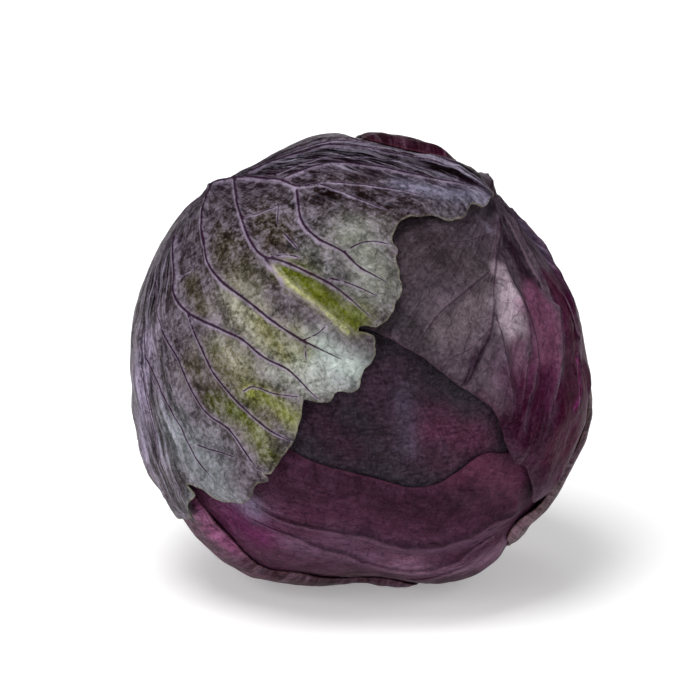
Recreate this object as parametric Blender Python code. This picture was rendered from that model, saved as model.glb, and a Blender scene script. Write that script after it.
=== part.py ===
"""A red cabbage head lying on its side: a tight inner head, a cut stalk and six outer leaves.

Each of them is a solid of its own. Lengths are millimetres from the middle of the head until the bodies are
made. The head faces -Y, its stalk points to the back. Places on the head are unit directions from its
middle; how far out a surface lies there is worked out layer by layer, so no leaf cuts into the one below.
"""

import math

import bpy
import numpy as np
from mathutils import Vector
from mathutils.geometry import delaunay_2d_cdt
from mathutils.kdtree import KDTree

MM = 0.001

# The whole head
HEAD_RADIUS = 79.0  # on average, which lengths along the surface are measured with
FRONT_RADIUS = 77.0
BACK_RADIUS = 74.0
LAYERS = 3.6  # the inner head is smaller than the whole by this
LAYERS_OVER = 1.2  # what lies over most of what the front view shows
# Radius of the head's outline in the front view, every 15 degrees, from the right side over the top
OUTLINE_RADII = (
    *(78.7, 78.4, 74.9, 74.8, 78.7, 78.0, 78.5, 79.8),
    *(79.0, 81.6, 81.9, 81.7, 81.6, 81.5, 80.4, 83.4),
    *(84.5, 80.9, 77.1, 81.9, 85.5, 82.0, 80.4, 81.1),
)
HEIGHT = 76.2  # of the head's middle above the surface it lies on
MIDDLE = (0.1, -4.8, HEIGHT)
SPOT_LAYERS = 2.8  # the inner head's flat bottom above that surface
SPOT_LEAF = 0.9  # thickness of the leaf the head rests on, there

# The front view looks down on the head by this angle, from this many head radii away
VIEW_TILT = math.radians(15)
VIEW_DISTANCE = 11.2
FACING = np.array((0.0, -math.cos(VIEW_TILT), math.sin(VIEW_TILT)))
ACROSS = np.array((1.0, 0.0, 0.0))
UPWARD = np.array((0.0, math.sin(VIEW_TILT), math.cos(VIEW_TILT)))
DOWN = np.array((0.0, 0.0, -1.0))

# The stalk
STALK_LEAN = math.radians(9.2)  # to the left of straight back
STALK_AXIS = np.array((-math.sin(STALK_LEAN), math.cos(STALK_LEAN), 0.0))
STALK_SIDE = np.array((math.cos(STALK_LEAN), math.sin(STALK_LEAN), 0.0))
STALK_UP = np.array((0.0, 0.0, 1.0))
STALK_RADIUS = 13.4
STALK_LENGTH = 18.0
STALK_SEAT = 68.4  # flat end of the inner head, from its middle
STALK_HOLE = 15.3  # the leaves begin this far from the stalk's axis
STALK_SIDES = 20
STALK_COLOUR = (0.42, 0.38, 0.25)

# The leaves
LEAF = 1.0
GAP = 0.45
HOLD = 9.0  # a leaf still lifts what lies on it this far past its margin
FADE = 20.0
RIB_FADE = 9.0  # a leaf's own ridges and bulges die out over this length under what lies on it
RIM_WIDTH = 16.0  # of the border of a leaf that stands off
HELD = 35.0  # margins lie close this far round the stalk
FREED = 40.0  # and stand off more and more over this length beyond
BULGE = 0.35
BULGE_SPACING = (5.5, 6.5)  # from one bulge to the next is about six times as far
SPOT_FADE = 16.0  # the head keeps its plain round form this far round its flat spot
HEART_COLOUR = (0.055, 0.02, 0.045)

# The nets of points that the faces are made on
POINTS_ON_HEAD = 1250  # of the net all surfaces share
POINT_SPACING = math.sqrt(4 * math.pi / POINTS_ON_HEAD) * HEAD_RADIUS
MARGIN_STEP = 6.0
VEIN_STEP = 8.0
CREST_SPACING = 2.6  # at least this far from a crest's point to any other
FOOT_SPACING = 1.7
SPOT_RINGS = ((0.0, 1), (6.5, 6), (13.0, 12))  # radius and number of points where the head rests
SPOT_RADIUS = SPOT_RINGS[-1][0]


def unit(vector):
    vector = np.asarray(vector, float)
    return vector / np.linalg.norm(vector, axis=-1, keepdims=True)


def smooth_step(x):
    x = np.clip(x, 0.0, 1.0)
    return x * x * (3.0 - 2.0 * x)


def arc_from(direction, d):
    """Distance in mm of each direction from one direction."""
    return HEAD_RADIUS * np.arccos(np.clip(d @ direction, -1.0, 1.0))


def outline_radius(angle):
    """The front view's outline radius at an angle, smoothly between the listed values."""
    radii = np.array(OUTLINE_RADII)
    place = np.asarray(angle) / (2 * math.pi) * len(radii)
    first = np.floor(place).astype(int)
    f = place - first
    a, b, c, d = (radii[(first + i) % len(radii)] for i in (-1, 0, 1, 2))
    return b + 0.5 * f * (c - a + f * (2 * a - 5 * b + 4 * c - d + f * (3 * (b - c) + d - a)))


def front(*points):
    """Directions of points given as (across, up) in the front view."""
    found = []
    far = VIEW_DISTANCE
    for x, z in points:
        angle = math.atan2(z, x)
        limb = float(outline_radius(angle))
        q = min(0.998, math.hypot(x, z) / limb) * far / math.sqrt(far * far - 1)
        # The head isn't quite round, so where the line of sight meets it is found step by step
        reach = 1.0
        for _ in range(8):
            root = far**4 - (q * q + far * far) * (far * far - reach * reach)
            s = (far * far - math.sqrt(max(root, 0.0))) / (q * q + far * far)
            toward = min(1.0, far * (1 - s) / reach)
            reach = 1.0 - (1.0 - (FRONT_RADIUS - LAYERS_OVER) / limb) * toward * toward
        side = math.cos(angle) * ACROSS + math.sin(angle) * UPWARD
        found.append(unit(q * s * side + far * (1 - s) * FACING))
    return found


def back(*points):
    """Directions of points on the far side, given as (across, up) as they would show through the head."""
    found = []
    for x, z in points:
        angle = math.atan2(z, x)
        share = min(0.998, math.hypot(x, z) / float(outline_radius(angle)))
        side = math.cos(angle) * ACROSS + math.sin(angle) * UPWARD
        found.append(unit(share * side - math.sqrt(1 - share * share) * FACING))
    return found


def round_stalk(distance, *angles):
    """Directions at a distance from the stalk's axis, at angles from the right side over the top."""
    lean = math.asin(distance / (BACK_RADIUS - LAYERS))
    found = []
    for angle in np.radians(angles):
        side = math.cos(angle) * STALK_SIDE + math.sin(angle) * STALK_UP
        found.append(unit(math.sin(lean) * side + math.cos(lean) * STALK_AXIS))
    return found


def blend(a, b, start, end, at):
    return ((end - at) * a + (at - start) * b) / (end - start)


def smooth_line(points, step, closed=False):
    """Directions about every step mm along a smooth line through the given ones."""
    p = np.array(points)
    if closed:
        p = np.vstack((p[-1:], p, p[:2]))
    else:
        p = np.vstack((2 * p[0] - p[1], p, 2 * p[-1] - p[-2]))
    lengths = np.linalg.norm(np.diff(p, axis=0), axis=1)
    t = np.concatenate(((0.0,), np.cumsum(np.sqrt(lengths))))
    line = []
    for i in range(1, len(p) - 2):
        count = max(1, round(HEAD_RADIUS * lengths[i] / step))
        for at in t[i] + (t[i + 1] - t[i]) * np.arange(count) / count:
            a = [blend(p[j], p[j + 1], t[j], t[j + 1], at) for j in (i - 1, i, i + 1)]
            b = [blend(a[j], a[j + 1], t[i - 1 + j], t[i + 1 + j], at) for j in (0, 1)]
            line.append(blend(b[0], b[1], t[i], t[i + 1], at))
    if not closed:
        line.append(p[-2])
    return unit(line)


def distance_to(line, d, closed=False):
    """Distance in mm of each direction from a line, and how far along the line it is nearest, 0 to 1."""
    starts = line if closed else line[:-1]
    ends = np.roll(line, -1, axis=0) if closed else line[1:]
    run = ends - starts
    run_square = (run * run).sum(1)
    lengths = np.sqrt(run_square)
    before = np.cumsum(lengths) - lengths
    ahead = d @ run.T - (starts * run).sum(1)
    share = np.clip(ahead / run_square, 0.0, 1.0)
    square = 2.0 - 2.0 * (d @ starts.T) - 2.0 * share * ahead + share * share * run_square
    nearest = square.argmin(1)
    rows = np.arange(len(d))
    along = (before[nearest] + share[rows, nearest] * lengths[nearest]) / lengths.sum()
    return HEAD_RADIUS * np.sqrt(np.maximum(square[rows, nearest], 0.0)), along


class Vein:
    """A solid ridge on the outside of a leaf, tapering from its first point to its last."""

    def __init__(self, points, half_widths, heights):
        self.line = smooth_line(points, VEIN_STEP)
        self.half_widths = half_widths
        self.heights = heights

    def height(self, d):
        away, along = distance_to(self.line, d)
        half = self.half_widths[0] + (self.half_widths[1] - self.half_widths[0]) * along
        tall = self.heights[0] + (self.heights[1] - self.heights[0]) * along
        return tall * (1.0 - np.clip(away / half, 0.0, 1.0) ** 2) ** 2

    def rows(self):
        """The crest and the two feet, as lines of directions."""
        ahead = unit(np.gradient(self.line, axis=0))
        sideways = np.cross(self.line, ahead)
        share = np.linspace(0.0, 1.0, len(self.line))[:, None]
        half = self.half_widths[0] + (self.half_widths[1] - self.half_widths[0]) * share
        feet = [unit(self.line + side * half / HEAD_RADIUS * sideways) for side in (-1, 1)]
        return [self.line, *feet]


class Leaf:
    """A leaf by its outline, its veins and how much its margin stands off."""

    def __init__(self, name, colour, outline, veins, lift, waves):
        self.name = name
        self.colour = colour
        self.outline = smooth_line(outline, MARGIN_STEP, closed=True)
        self.veins = veins
        self.lift = lift
        self.waves = waves
        self.up = unit(self.outline.mean(0))
        self.right = unit(np.cross((0.31, 0.17, 0.93), self.up))
        self.ahead = np.cross(self.up, self.right)
        self.flat_outline = self.flatten(self.outline)

    def flatten(self, d):
        """Spreads directions on a plane without changing which circles hold which points."""
        share = 1.0 / (1.0 + d @ self.up)
        return np.stack((d @ self.right * share, d @ self.ahead * share), axis=1)

    def raise_up(self, flat):
        """The directions of points on that plane."""
        square = (flat * flat).sum(1)[:, None]
        sideways = 2 * (flat[:, :1] * self.right + flat[:, 1:] * self.ahead)
        return (sideways + (1 - square) * self.up) / (1 + square)

    def holds(self, d):
        """Which directions lie on the leaf."""
        at = self.flatten(d)
        start = self.flat_outline
        end = np.roll(start, -1, axis=0)
        spans = (start[:, 1] > at[:, 1:]) != (end[:, 1] > at[:, 1:])
        drop = np.where(end[:, 1] == start[:, 1], 1.0, end[:, 1] - start[:, 1])
        cross = start[:, 0] + (at[:, 1:] - start[:, 1]) * (end[:, 0] - start[:, 0]) / drop
        return (spans & (at[:, :1] < cross)).sum(1) % 2 == 1

    def cover(self, d, fade=FADE):
        """1 on the leaf and just round it, falling to 0 further out."""
        away, _ = distance_to(self.outline, d, closed=True)
        away[self.holds(d)] = 0.0
        return 1.0 - smooth_step((away - HOLD) / fade)

    def stand_off(self, d):
        """How far the blade bulges and its free margin stands off what is below."""
        away, along = distance_to(self.outline, d, closed=True)
        rim = np.clip(1.0 - away / RIM_WIDTH, 0.0, 1.0) ** 2
        rim *= smooth_step((arc_from(STALK_AXIS, d) - HELD) / FREED)
        turn = 2 * math.pi * along
        wave = 1.0 + 0.5 * np.sin(self.waves * turn) + 0.3 * np.sin((2 * self.waves + 1) * turn)
        across, ahead = HEAD_RADIUS * (d @ self.right), HEAD_RADIUS * (d @ self.ahead)
        ripple = np.sin(across / BULGE_SPACING[0] + 1.0) * np.sin(ahead / BULGE_SPACING[1])
        off_spot = smooth_step((arc_from(DOWN, d) - SPOT_RADIUS) / SPOT_FADE)
        return off_spot * (self.lift * rim * wave + BULGE * (1.0 + ripple))


def head_radius(d):
    """How far out the whole head reaches."""
    toward = d @ FACING
    angle = np.arctan2(d @ UPWARD, d @ ACROSS)
    depth = np.where(toward > 0, FRONT_RADIUS, BACK_RADIUS)
    return depth * toward**2 + outline_radius(angle) * (1 - toward**2)


def surface_radius(d, inset=0.0):
    """How far out the surface lies that the head rests on, or a level this much above it."""
    down = np.maximum(-d[:, 2], 1e-3)
    return (HEIGHT - inset) / down


def heart_radius(d):
    """How far out the inner head reaches, flattened at the bottom and where the stalk stands."""
    round_form = head_radius(d) - LAYERS
    seat = STALK_SEAT / np.maximum(d @ STALK_AXIS, 1e-3)
    return np.minimum.reduce((round_form, surface_radius(d, SPOT_LAYERS), seat))


def leaf_radii(leaf, leaves, d):
    """How far out the inner and outer faces of a leaf lie."""
    place = leaves.index(leaf)
    inner = heart_radius(d) + GAP
    for lower in leaves[:place]:
        inner += lower.cover(d) * (LEAF + GAP)
    free = np.ones(len(d))
    for upper in leaves[place + 1 :]:
        free = np.minimum(free, 1.0 - upper.cover(d, fade=RIB_FADE))
    inner = np.minimum(inner + free * leaf.stand_off(d), surface_radius(d, SPOT_LEAF))
    rib = free * np.max([vein.height(d) for vein in leaf.veins], axis=0)
    outer = np.minimum(inner + LEAF + rib, surface_radius(d))
    return inner, outer


def shared_net():
    """Directions spread evenly over the head, with rings of their own where it rests."""
    count = np.arange(POINTS_ON_HEAD)
    height = 1.0 - (2.0 * count + 1.0) / POINTS_ON_HEAD
    angle = math.pi * (3.0 - math.sqrt(5.0)) * count
    round_it = np.sqrt(1.0 - height * height)
    net = np.stack((round_it * np.cos(angle), round_it * np.sin(angle), height), axis=1)
    net = net[arc_from(DOWN, net) > SPOT_RADIUS + 0.6 * POINT_SPACING]
    rings = [
        unit((radius / HEIGHT * math.cos(turn), radius / HEIGHT * math.sin(turn), -1.0))
        for radius, many in SPOT_RINGS
        for turn in 2 * math.pi * np.arange(many) / many
    ]
    return np.vstack((net, rings))


def far_enough(candidates, kept, distance):
    """The candidates that stay this many mm away from the kept points."""
    tree = KDTree(len(kept))
    for i, point in enumerate(kept):
        tree.insert(point, i)
    tree.balance()
    return np.array([HEAD_RADIUS * tree.find(point)[2] > distance for point in candidates], bool)


def leaf_net(leaf, leaves, net):
    """The points of a leaf's faces, and the lines its triangles follow."""
    count = len(leaf.outline)
    points = list(leaf.outline)
    lines = [(i, (i + 1) % count) for i in range(count)]
    place = leaves.index(leaf)
    for vein in leaf.veins:
        for row, follow in zip(vein.rows(), (True, False, False)):
            free = leaf.holds(row)
            for upper in leaves[place + 1 :]:
                free &= upper.cover(row, fade=RIB_FADE) < 0.9
            free &= far_enough(row, points, CREST_SPACING if follow else FOOT_SPACING)
            last = None
            for i, direction in enumerate(row):
                if not free[i]:
                    continue
                points.append(direction)
                if follow and last == i - 1:
                    lines.append((len(points) - 2, len(points) - 1))
                last = i
    spare = net[leaf.holds(net)]
    points.extend(spare[far_enough(spare, points, 0.5 * POINT_SPACING)])
    return leaf.flatten(np.array(points)), lines


def triangles_in(leaf, flat, lines):
    """Joins points on the leaf's plane with triangles that fill its outline."""
    made = delaunay_2d_cdt([Vector(p) for p in flat], lines, [], 1, 1e-6)
    at = np.array([tuple(p) for p in made[0]])
    faces = np.array(made[2])
    a, b, c = (at[faces[:, i]] for i in range(3))
    turn = (b[:, 0] - a[:, 0]) * (c[:, 1] - a[:, 1]) - (b[:, 1] - a[:, 1]) * (c[:, 0] - a[:, 0])
    faces[turn < 0] = faces[turn < 0][:, ::-1]
    faces = faces[leaf.holds(leaf.raise_up((a + b + c) / 3))]
    return leaf.raise_up(at), faces


def closed_shell(outer, inner, faces):
    """A solid between two faces with the same triangles, walled along their open edges."""
    count = len(outer)
    edges = {}
    for face in faces:
        for i in range(3):
            edges[(face[i], face[(i + 1) % 3])] = True
    wall = []
    for a, b in edges:
        if (b, a) not in edges:
            wall.append((b, a, a + count))
            wall.append((b, a + count, b + count))
    under = [(c + count, b + count, a + count) for a, b, c in faces]
    return np.vstack((outer, inner)), [*map(tuple, faces), *under, *wall]


def add_body(name, colour, vertices, faces):
    mesh = bpy.data.meshes.new(name)
    placed = (np.asarray(vertices) + MIDDLE) * MM
    mesh.from_pydata([tuple(map(float, v)) for v in placed], [], [tuple(map(int, f)) for f in faces])
    mesh.update()
    material = bpy.data.materials.new(name)
    material.use_nodes = True
    shader = material.node_tree.nodes["Principled BSDF"]
    shader.inputs["Base Color"].default_value = (*colour, 1.0)
    shader.inputs["Roughness"].default_value = 0.45
    mesh.materials.append(material)
    body = bpy.data.objects.new(name, mesh)
    bpy.context.scene.collection.objects.link(body)
    return body


def build_leaf(leaf, leaves, net):
    flat, lines = leaf_net(leaf, leaves, net)
    d, faces = triangles_in(leaf, flat, lines)
    used = np.unique(faces)
    d = d[used]
    faces = np.searchsorted(used, faces)
    inner, outer = leaf_radii(leaf, leaves, d)
    add_body(leaf.name, leaf.colour, *closed_shell(d * outer[:, None], d * inner[:, None], faces))


def build_heart(leaves, net, folds):
    """The tight inner head, with the folds of its top leaves where the outer leaves leave it bare."""
    extra = np.vstack([row for fold in folds for row in fold.rows()])
    points = np.vstack((extra, net))
    keep = [0]
    for i in range(1, len(points)):
        close = np.linalg.norm(points[keep] - points[i], axis=1).min() * HEAD_RADIUS
        if close > (CREST_SPACING if i < len(extra) else 0.64 * POINT_SPACING):
            keep.append(i)
    points = points[keep]
    # Seen from one pole all other points lie on a plane, and the pole closes the net over its outer ring
    pole_at = int(np.argmax(points @ -FACING))
    pole = points[pole_at]
    side = unit(np.cross(pole, (0.3, 0.1, 0.9)))
    other = np.cross(pole, side)
    rest = np.delete(points, pole_at, axis=0)
    share = 1.0 / (1.0 - rest @ pole)
    flat = np.stack((rest @ side * share, rest @ other * share), axis=1)
    made = delaunay_2d_cdt([Vector(p) for p in flat], [], [], 0, 1e-9)
    faces = [tuple(f) for f in made[2]]
    edges = {(f[i], f[(i + 1) % 3]) for f in faces for i in range(3)}
    top = len(rest)
    faces += [(b, a, top) for a, b in edges if (b, a) not in edges]
    d = np.vstack((rest, pole))
    faces = np.array(faces)
    a, b, c = (d[faces[:, i]] for i in range(3))
    inward = (np.cross(b - a, c - a) * a).sum(1) < 0
    faces[inward] = faces[inward][:, ::-1]
    bare = 1.0 - np.max([leaf.cover(d, fade=RIB_FADE) for leaf in leaves], axis=0)
    relief = bare * np.max([fold.height(d) for fold in folds], axis=0)
    add_body("inner_head", HEART_COLOUR, d * (heart_radius(d) + relief)[:, None], faces)


def build_stalk():
    """The cut stem: a short ribbed post with a slightly domed cut end."""
    foot = STALK_SEAT + 0.4
    end = foot + STALK_LENGTH
    # Shares of the stalk's radius, and how far from the head's middle the post is that wide
    profile = (
        (0.55, foot),
        (0.96, foot),
        (1.0, foot + 6.0),
        (0.95, foot + 13.0),
        (1.0, end - 1.5),
        (0.93, end),
        (0.5, end + 0.5),
    )
    vertices = []
    for share, height in profile:
        for turn in 2 * math.pi * np.arange(STALK_SIDES) / STALK_SIDES:
            ribbed = 1.0 + 0.03 * math.sin(2 * turn + 0.6) + 0.025 * math.sin(5 * turn)
            outward = math.cos(turn) * STALK_SIDE + math.sin(turn) * STALK_UP
            vertices.append(STALK_RADIUS * share * ribbed * outward + height * STALK_AXIS)
    faces = []
    for ring in range(len(profile) - 1):
        for i in range(STALK_SIDES):
            j = (i + 1) % STALK_SIDES
            a, b = ring * STALK_SIDES + i, ring * STALK_SIDES + j
            faces += [(a, b + STALK_SIDES, b), (a, a + STALK_SIDES, b + STALK_SIDES)]
    vertices += [foot * STALK_AXIS, (end + 0.6) * STALK_AXIS]
    middle, tip = len(vertices) - 2, len(vertices) - 1
    last = (len(profile) - 1) * STALK_SIDES
    for i in range(STALK_SIDES):
        j = (i + 1) % STALK_SIDES
        faces += [(middle, i, j), (tip, last + j, last + i)]
    add_body("stalk", STALK_COLOUR, vertices, faces)


def lower_leaf():
    outline = [
        *front((-26.9, -31.1), (-14.7, -36.4), (-4.2, -39.5)),
        *front((11.5, -43.7), (17.5, -45.1), (23.8, -44.4)),
        *front((34.3, -38.8), (43.0, -32.9), (51.0, -32.9), (60.0, -29.5), (69.2, -22.0), (78.0, -10.0)),
        *back((72.0, 0.0), (45.0, 6.0), (22.0, 13.0)),
        *round_stalk(STALK_HOLE, -12, -38, -64, -90, -116, -142),
        *back((-40.0, -5.0), (-62.0, -20.0), (-74.0, -30.0)),
        *front((-74.1, -35.3), (-68.9, -38.1), (-56.6, -34.6), (-46.2, -29.4), (-35.0, -27.6)),
    ]
    pleats = [
        Vein(
            round_stalk(19.0, -82)
            + back((2.0, -20.0), (22.0, -52.0), (45.0, -62.0)),
            (6.0, 3.0),
            (3.5, 1.5),
        ),
        Vein(
            front(
                (58.7, -50.3), (51.7, -52.8), (37.8, -60.1), (23.8, -65.0), (4.5, -62.9),
                (-11.2, -58.4), (-36.4, -50.3),
            ),
            (5.0, 3.0),
            (1.6, 0.8),
        ),
        Vein(
            front((48.3, -62.6), (41.3, -66.8), (23.8, -72.4), (-4.2, -69.6), (-25.2, -60.8)),
            (4.0, 3.0),
            (1.4, 0.8),
        ),
    ]
    return Leaf("lower_leaf", (0.16, 0.045, 0.10), outline, pleats, 0.9, 9)


def upper_right_leaf():
    outline = [
        *front((4.5, 10.8), (13.3, 5.6), (18.5, 3.1), (27.3, -3.1)),
        *front((35.3, -9.4), (43.7, -14.7), (48.3, -23.1)),
        *front((49.3, -27.6), (52.4, -35.0), (57.3, -37.1), (58.7, -43.4)),
        *front((58.4, -47.9), (62.2, -47.6), (65.0, -47.9)),
        *back((66.0, -40.0), (52.0, -22.0), (32.0, -4.0), (18.0, 8.0)),
        *round_stalk(STALK_HOLE, -20, 5, 30, 55, 80, 100),
        *back((-12.0, 52.0), (-18.0, 72.0)),
        *front((-11.2, 78.0), (-8.0, 70.3), (-7.7, 56.3), (-7.5, 38.8), (-6.5, 21.3), (-3.7, 13.6)),
    ]
    veins = [
        Vein(
            round_stalk(19.0, 47)
            + back((14.0, 44.0), (35.0, 62.0))
            + front((45.5, 59.8), (47.9, 47.6), (46.5, 34.6), (45.5, 21.3)),
            (5.0, 3.4),
            (3.5, 1.8),
        ),
        Vein(front((45.5, 21.3), (44.1, 9.1), (40.6, 2.8), (35.7, -9.1)), (3.4, 2.4), (1.8, 1.0)),
        Vein(front((43.7, 31.1), (34.3, 23.4), (26.6, 16.8), (19.2, 6.6)), (2.8, 2.3), (1.3, 0.8)),
        Vein(
            front((47.2, 40.6), (52.4, 28.3), (58.7, 14.3), (61.5, 0.0), (58.7, -13.6), (55.2, -27.6)),
            (4.0, 3.0),
            (1.7, 0.9),
        ),
        Vein(
            front(
                (48.5, 56.3), (54.5, 45.1), (62.0, 31.0), (67.0, 19.4), (69.2, 5.1), (67.2, -10.1),
                (62.9, -26.1),
            ),
            (4.0, 3.0),
            (2.1, 1.0),
        ),
        Vein(
            front((53.0, 54.0), (64.2, 39.8), (72.0, 25.8), (75.8, 10.8), (76.0, -5.1), (71.0, -27.6)),
            (4.0, 3.0),
            (1.9, 0.9),
        ),
        Vein(front((46.5, 16.3), (51.0, -3.1), (52.0, -18.6)), (3.2, 2.4), (1.3, 0.8)),
    ]
    return Leaf("upper_right_leaf", (0.17, 0.07, 0.13), outline, veins, 1.6, 11)


def lower_left_leaf():
    outline = [
        *front((-56.6, -51.4), (-49.0, -59.1), (-40.9, -68.5), (-33.9, -73.4)),
        *front((-21.7, -75.2), (-4.2, -76.9), (11.5, -78.0)),
        *back((24.0, -77.0), (29.0, -66.0), (26.0, -50.0), (14.0, -28.0), (2.0, -4.0)),
        *round_stalk(STALK_HOLE, -84, -108, -132, -156, -178),
        *back((-46.0, 8.0), (-66.0, -4.0), (-78.0, -16.0)),
        *front((-78.4, -24.6), (-70.6, -32.9), (-64.3, -41.6), (-60.1, -46.9)),
    ]
    veins = [
        Vein(
            round_stalk(19.0, -132)
            + back((-32.0, -6.0), (-52.0, -36.0), (-62.0, -52.0)),
            (7.0, 3.0),
            (4.0, 1.5),
        ),
        Vein(back((-38.0, -16.0), (-38.0, -42.0), (-36.0, -66.0)), (4.0, 2.5), (1.6, 0.8)),
        Vein(back((-30.0, -6.0), (-18.0, -30.0), (-16.0, -52.0)), (4.0, 2.5), (1.6, 0.8)),
        Vein(back((-50.0, -33.0), (-66.0, -24.0)), (3.0, 2.5), (1.2, 0.8)),
    ]
    return Leaf("lower_left_leaf", (0.14, 0.05, 0.10), outline, veins, 1.2, 9)


def wrapper_leaf():
    outline = [
        *front((43.6, 59.4), (43.4, 54.0), (42.2, 52.9), (37.4, 53.8)),
        *front((35.3, 50.7), (30.1, 49.7), (23.8, 50.3)),
        *front((20.3, 49.3), (15.0, 48.6), (10.8, 45.5), (9.4, 42.0)),
        *front((11.5, 38.1), (10.8, 35.7), (12.9, 30.1)),
        *front((13.3, 26.6), (11.9, 21.3), (8.7, 15.4), (4.5, 12.2)),
        *front((-1.4, 11.5), (-2.1, 10.1), (3.5, 9.1)),
        *front((4.2, 1.4), (0.0, -3.8), (-2.8, -10.1), (-8.4, -10.5)),
        *front((-11.9, -14.3), (-20.3, -12.6), (-21.0, -18.2)),
        *front((-23.8, -26.6), (-27.6, -32.9), (-31.1, -37.1)),
        *front((-33.9, -37.4), (-31.9, -40.2), (-35.0, -41.2)),
        *front((-38.1, -46.5), (-43.4, -48.6), (-48.3, -49.3)),
        *front((-54.2, -44.1), (-59.6, -41.6), (-56.6, -45.1)),
        *front((-58.0, -47.4), (-57.0, -52.4), (-60.1, -54.2)),
        *front((-64.3, -50.3), (-68.9, -47.6), (-71.3, -41.6)),
        *back((-77.0, -26.0), (-66.0, -8.0), (-48.0, 8.0)),
        *round_stalk(STALK_HOLE, 184, 162, 140, 118, 98),
        *back((-10.0, 58.0), (0.0, 73.0)),
        *front((13.3, 76.9), (30.8, 69.8), (37.0, 66.9), (43.8, 61.8)),
    ]
    veins = [
        Vein(
            round_stalk(19.0, 143) + back((-32.0, 36.0), (-50.0, 58.0)) + front((-54.0, 62.4)),
            (8.0, 5.0),
            (4.5, 2.2),
        ),
        Vein(
            front(
                (-53.6, 62.2), (-44.4, 63.6), (-35.0, 64.0), (-28.7, 63.3), (-22.4, 60.8),
                (-14.7, 61.2),
            ),
            (4.8, 3.0),
            (2.2, 1.4),
        ),
        Vein(
            front(
                (-52.4, 61.9), (-55.6, 54.5), (-55.2, 40.6), (-53.8, 34.6), (-49.0, 28.0),
                (-40.2, 21.3), (-31.5, 14.3), (-21.7, 8.0), (-7.7, 1.0),
            ),
            (3.2, 2.4),
            (1.9, 1.1),
        ),
        Vein(
            front(
                (-44.4, 63.3), (-42.7, 52.1), (-39.2, 42.3), (-34.6, 36.7), (-28.0, 35.0),
                (-19.2, 31.1), (-10.1, 25.9), (2.8, 15.0),
            ),
            (3.0, 2.4),
            (1.7, 1.0),
        ),
        Vein(front((-34.6, 36.7), (-25.2, 25.5), (-15.4, 19.2), (-5.9, 9.8)), (2.8, 2.3), (1.4, 0.9)),
        Vein(
            front((-22.7, 59.1), (-21.0, 48.6), (-15.4, 42.3), (-6.6, 37.4), (-1.4, 32.5), (8.0, 27.3)),
            (3.0, 2.4),
            (1.7, 0.9),
        ),
        Vein(
            front(
                (-65.4, 43.4), (-65.7, 31.8), (-65.4, 23.1), (-61.2, 17.5), (-49.0, 11.2),
                (-41.6, 7.7), (-33.9, 1.4), (-25.2, -3.1), (-15.4, -12.6),
            ),
            (3.2, 2.4),
            (1.8, 1.0),
        ),
        Vein(
            front((-61.2, 17.5), (-55.6, 3.8), (-49.7, -6.6), (-40.9, -16.4), (-24.5, -27.6)),
            (2.8, 2.3),
            (1.5, 0.9),
        ),
        Vein(
            front((-69.6, 10.8), (-64.3, 0.3), (-54.2, -17.8), (-46.2, -23.4), (-35.0, -36.4)),
            (2.8, 2.3),
            (1.5, 0.9),
        ),
        Vein(
            front((-75.9, 2.1), (-70.6, -9.4), (-64.7, -20.6), (-59.4, -29.4), (-51.4, -40.4)),
            (2.8, 2.3),
            (1.5, 0.9),
        ),
        Vein(
            front((-39.2, 66.1), (-18.2, 73.5), (-5.9, 74.2), (13.3, 71.4), (30.8, 67.0)),
            (3.2, 2.4),
            (1.7, 0.9),
        ),
        Vein(
            front((-26.9, 64.3), (-11.2, 67.9), (2.8, 67.2), (23.8, 62.7), (42.0, 58.0)),
            (3.2, 2.4),
            (1.7, 0.9),
        ),
        Vein(back((-34.0, 38.0), (-52.0, 30.0), (-70.0, 28.0)), (4.0, 2.5), (1.6, 0.9)),
        Vein(back((-42.0, 50.0), (-60.0, 46.0), (-70.0, 38.0)), (3.5, 2.5), (1.4, 0.9)),
    ]
    return Leaf("wrapper_leaf", (0.20, 0.20, 0.17), outline, veins, 2.4, 13)


def right_back_leaf():
    outline = [
        *front((79.6, -15.0), (78.4, -20.5), (75.6, -28.5), (71.0, -37.0), (65.4, -45.7), (61.0, -51.1)),
        *front((56.5, -55.0), (53.3, -58.9), (51.6, -62.2), (52.2, -64.4)),
        *back((48.0, -63.0), (36.0, -49.0), (22.0, -26.0), (10.0, -6.0)),
        *round_stalk(STALK_HOLE, -68, -46, -24, -2, 20, 36),
        *back((16.0, 34.0), (44.0, 42.0), (66.0, 30.0), (76.0, 14.0), (80.0, -2.0)),
    ]
    veins = [
        Vein(
            round_stalk(19.0, -16)
            + back((26.0, 10.0), (50.0, -4.0), (68.0, -28.0)),
            (7.5, 3.0),
            (4.2, 1.4),
        ),
        Vein(back((22.0, 12.0), (44.0, 24.0), (64.0, 22.0)), (4.0, 2.5), (1.6, 0.8)),
        Vein(back((38.0, 4.0), (58.0, 8.0), (72.0, 4.0)), (3.5, 2.5), (1.4, 0.8)),
        Vein(back((26.0, 6.0), (36.0, -18.0), (44.0, -42.0)), (4.0, 2.5), (1.6, 0.8)),
        Vein(back((44.0, 0.0), (54.0, -22.0), (56.0, -44.0)), (3.5, 2.5), (1.4, 0.8)),
    ]
    return Leaf("right_back_leaf", (0.17, 0.10, 0.10), outline, veins, 0.7, 9)


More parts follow.
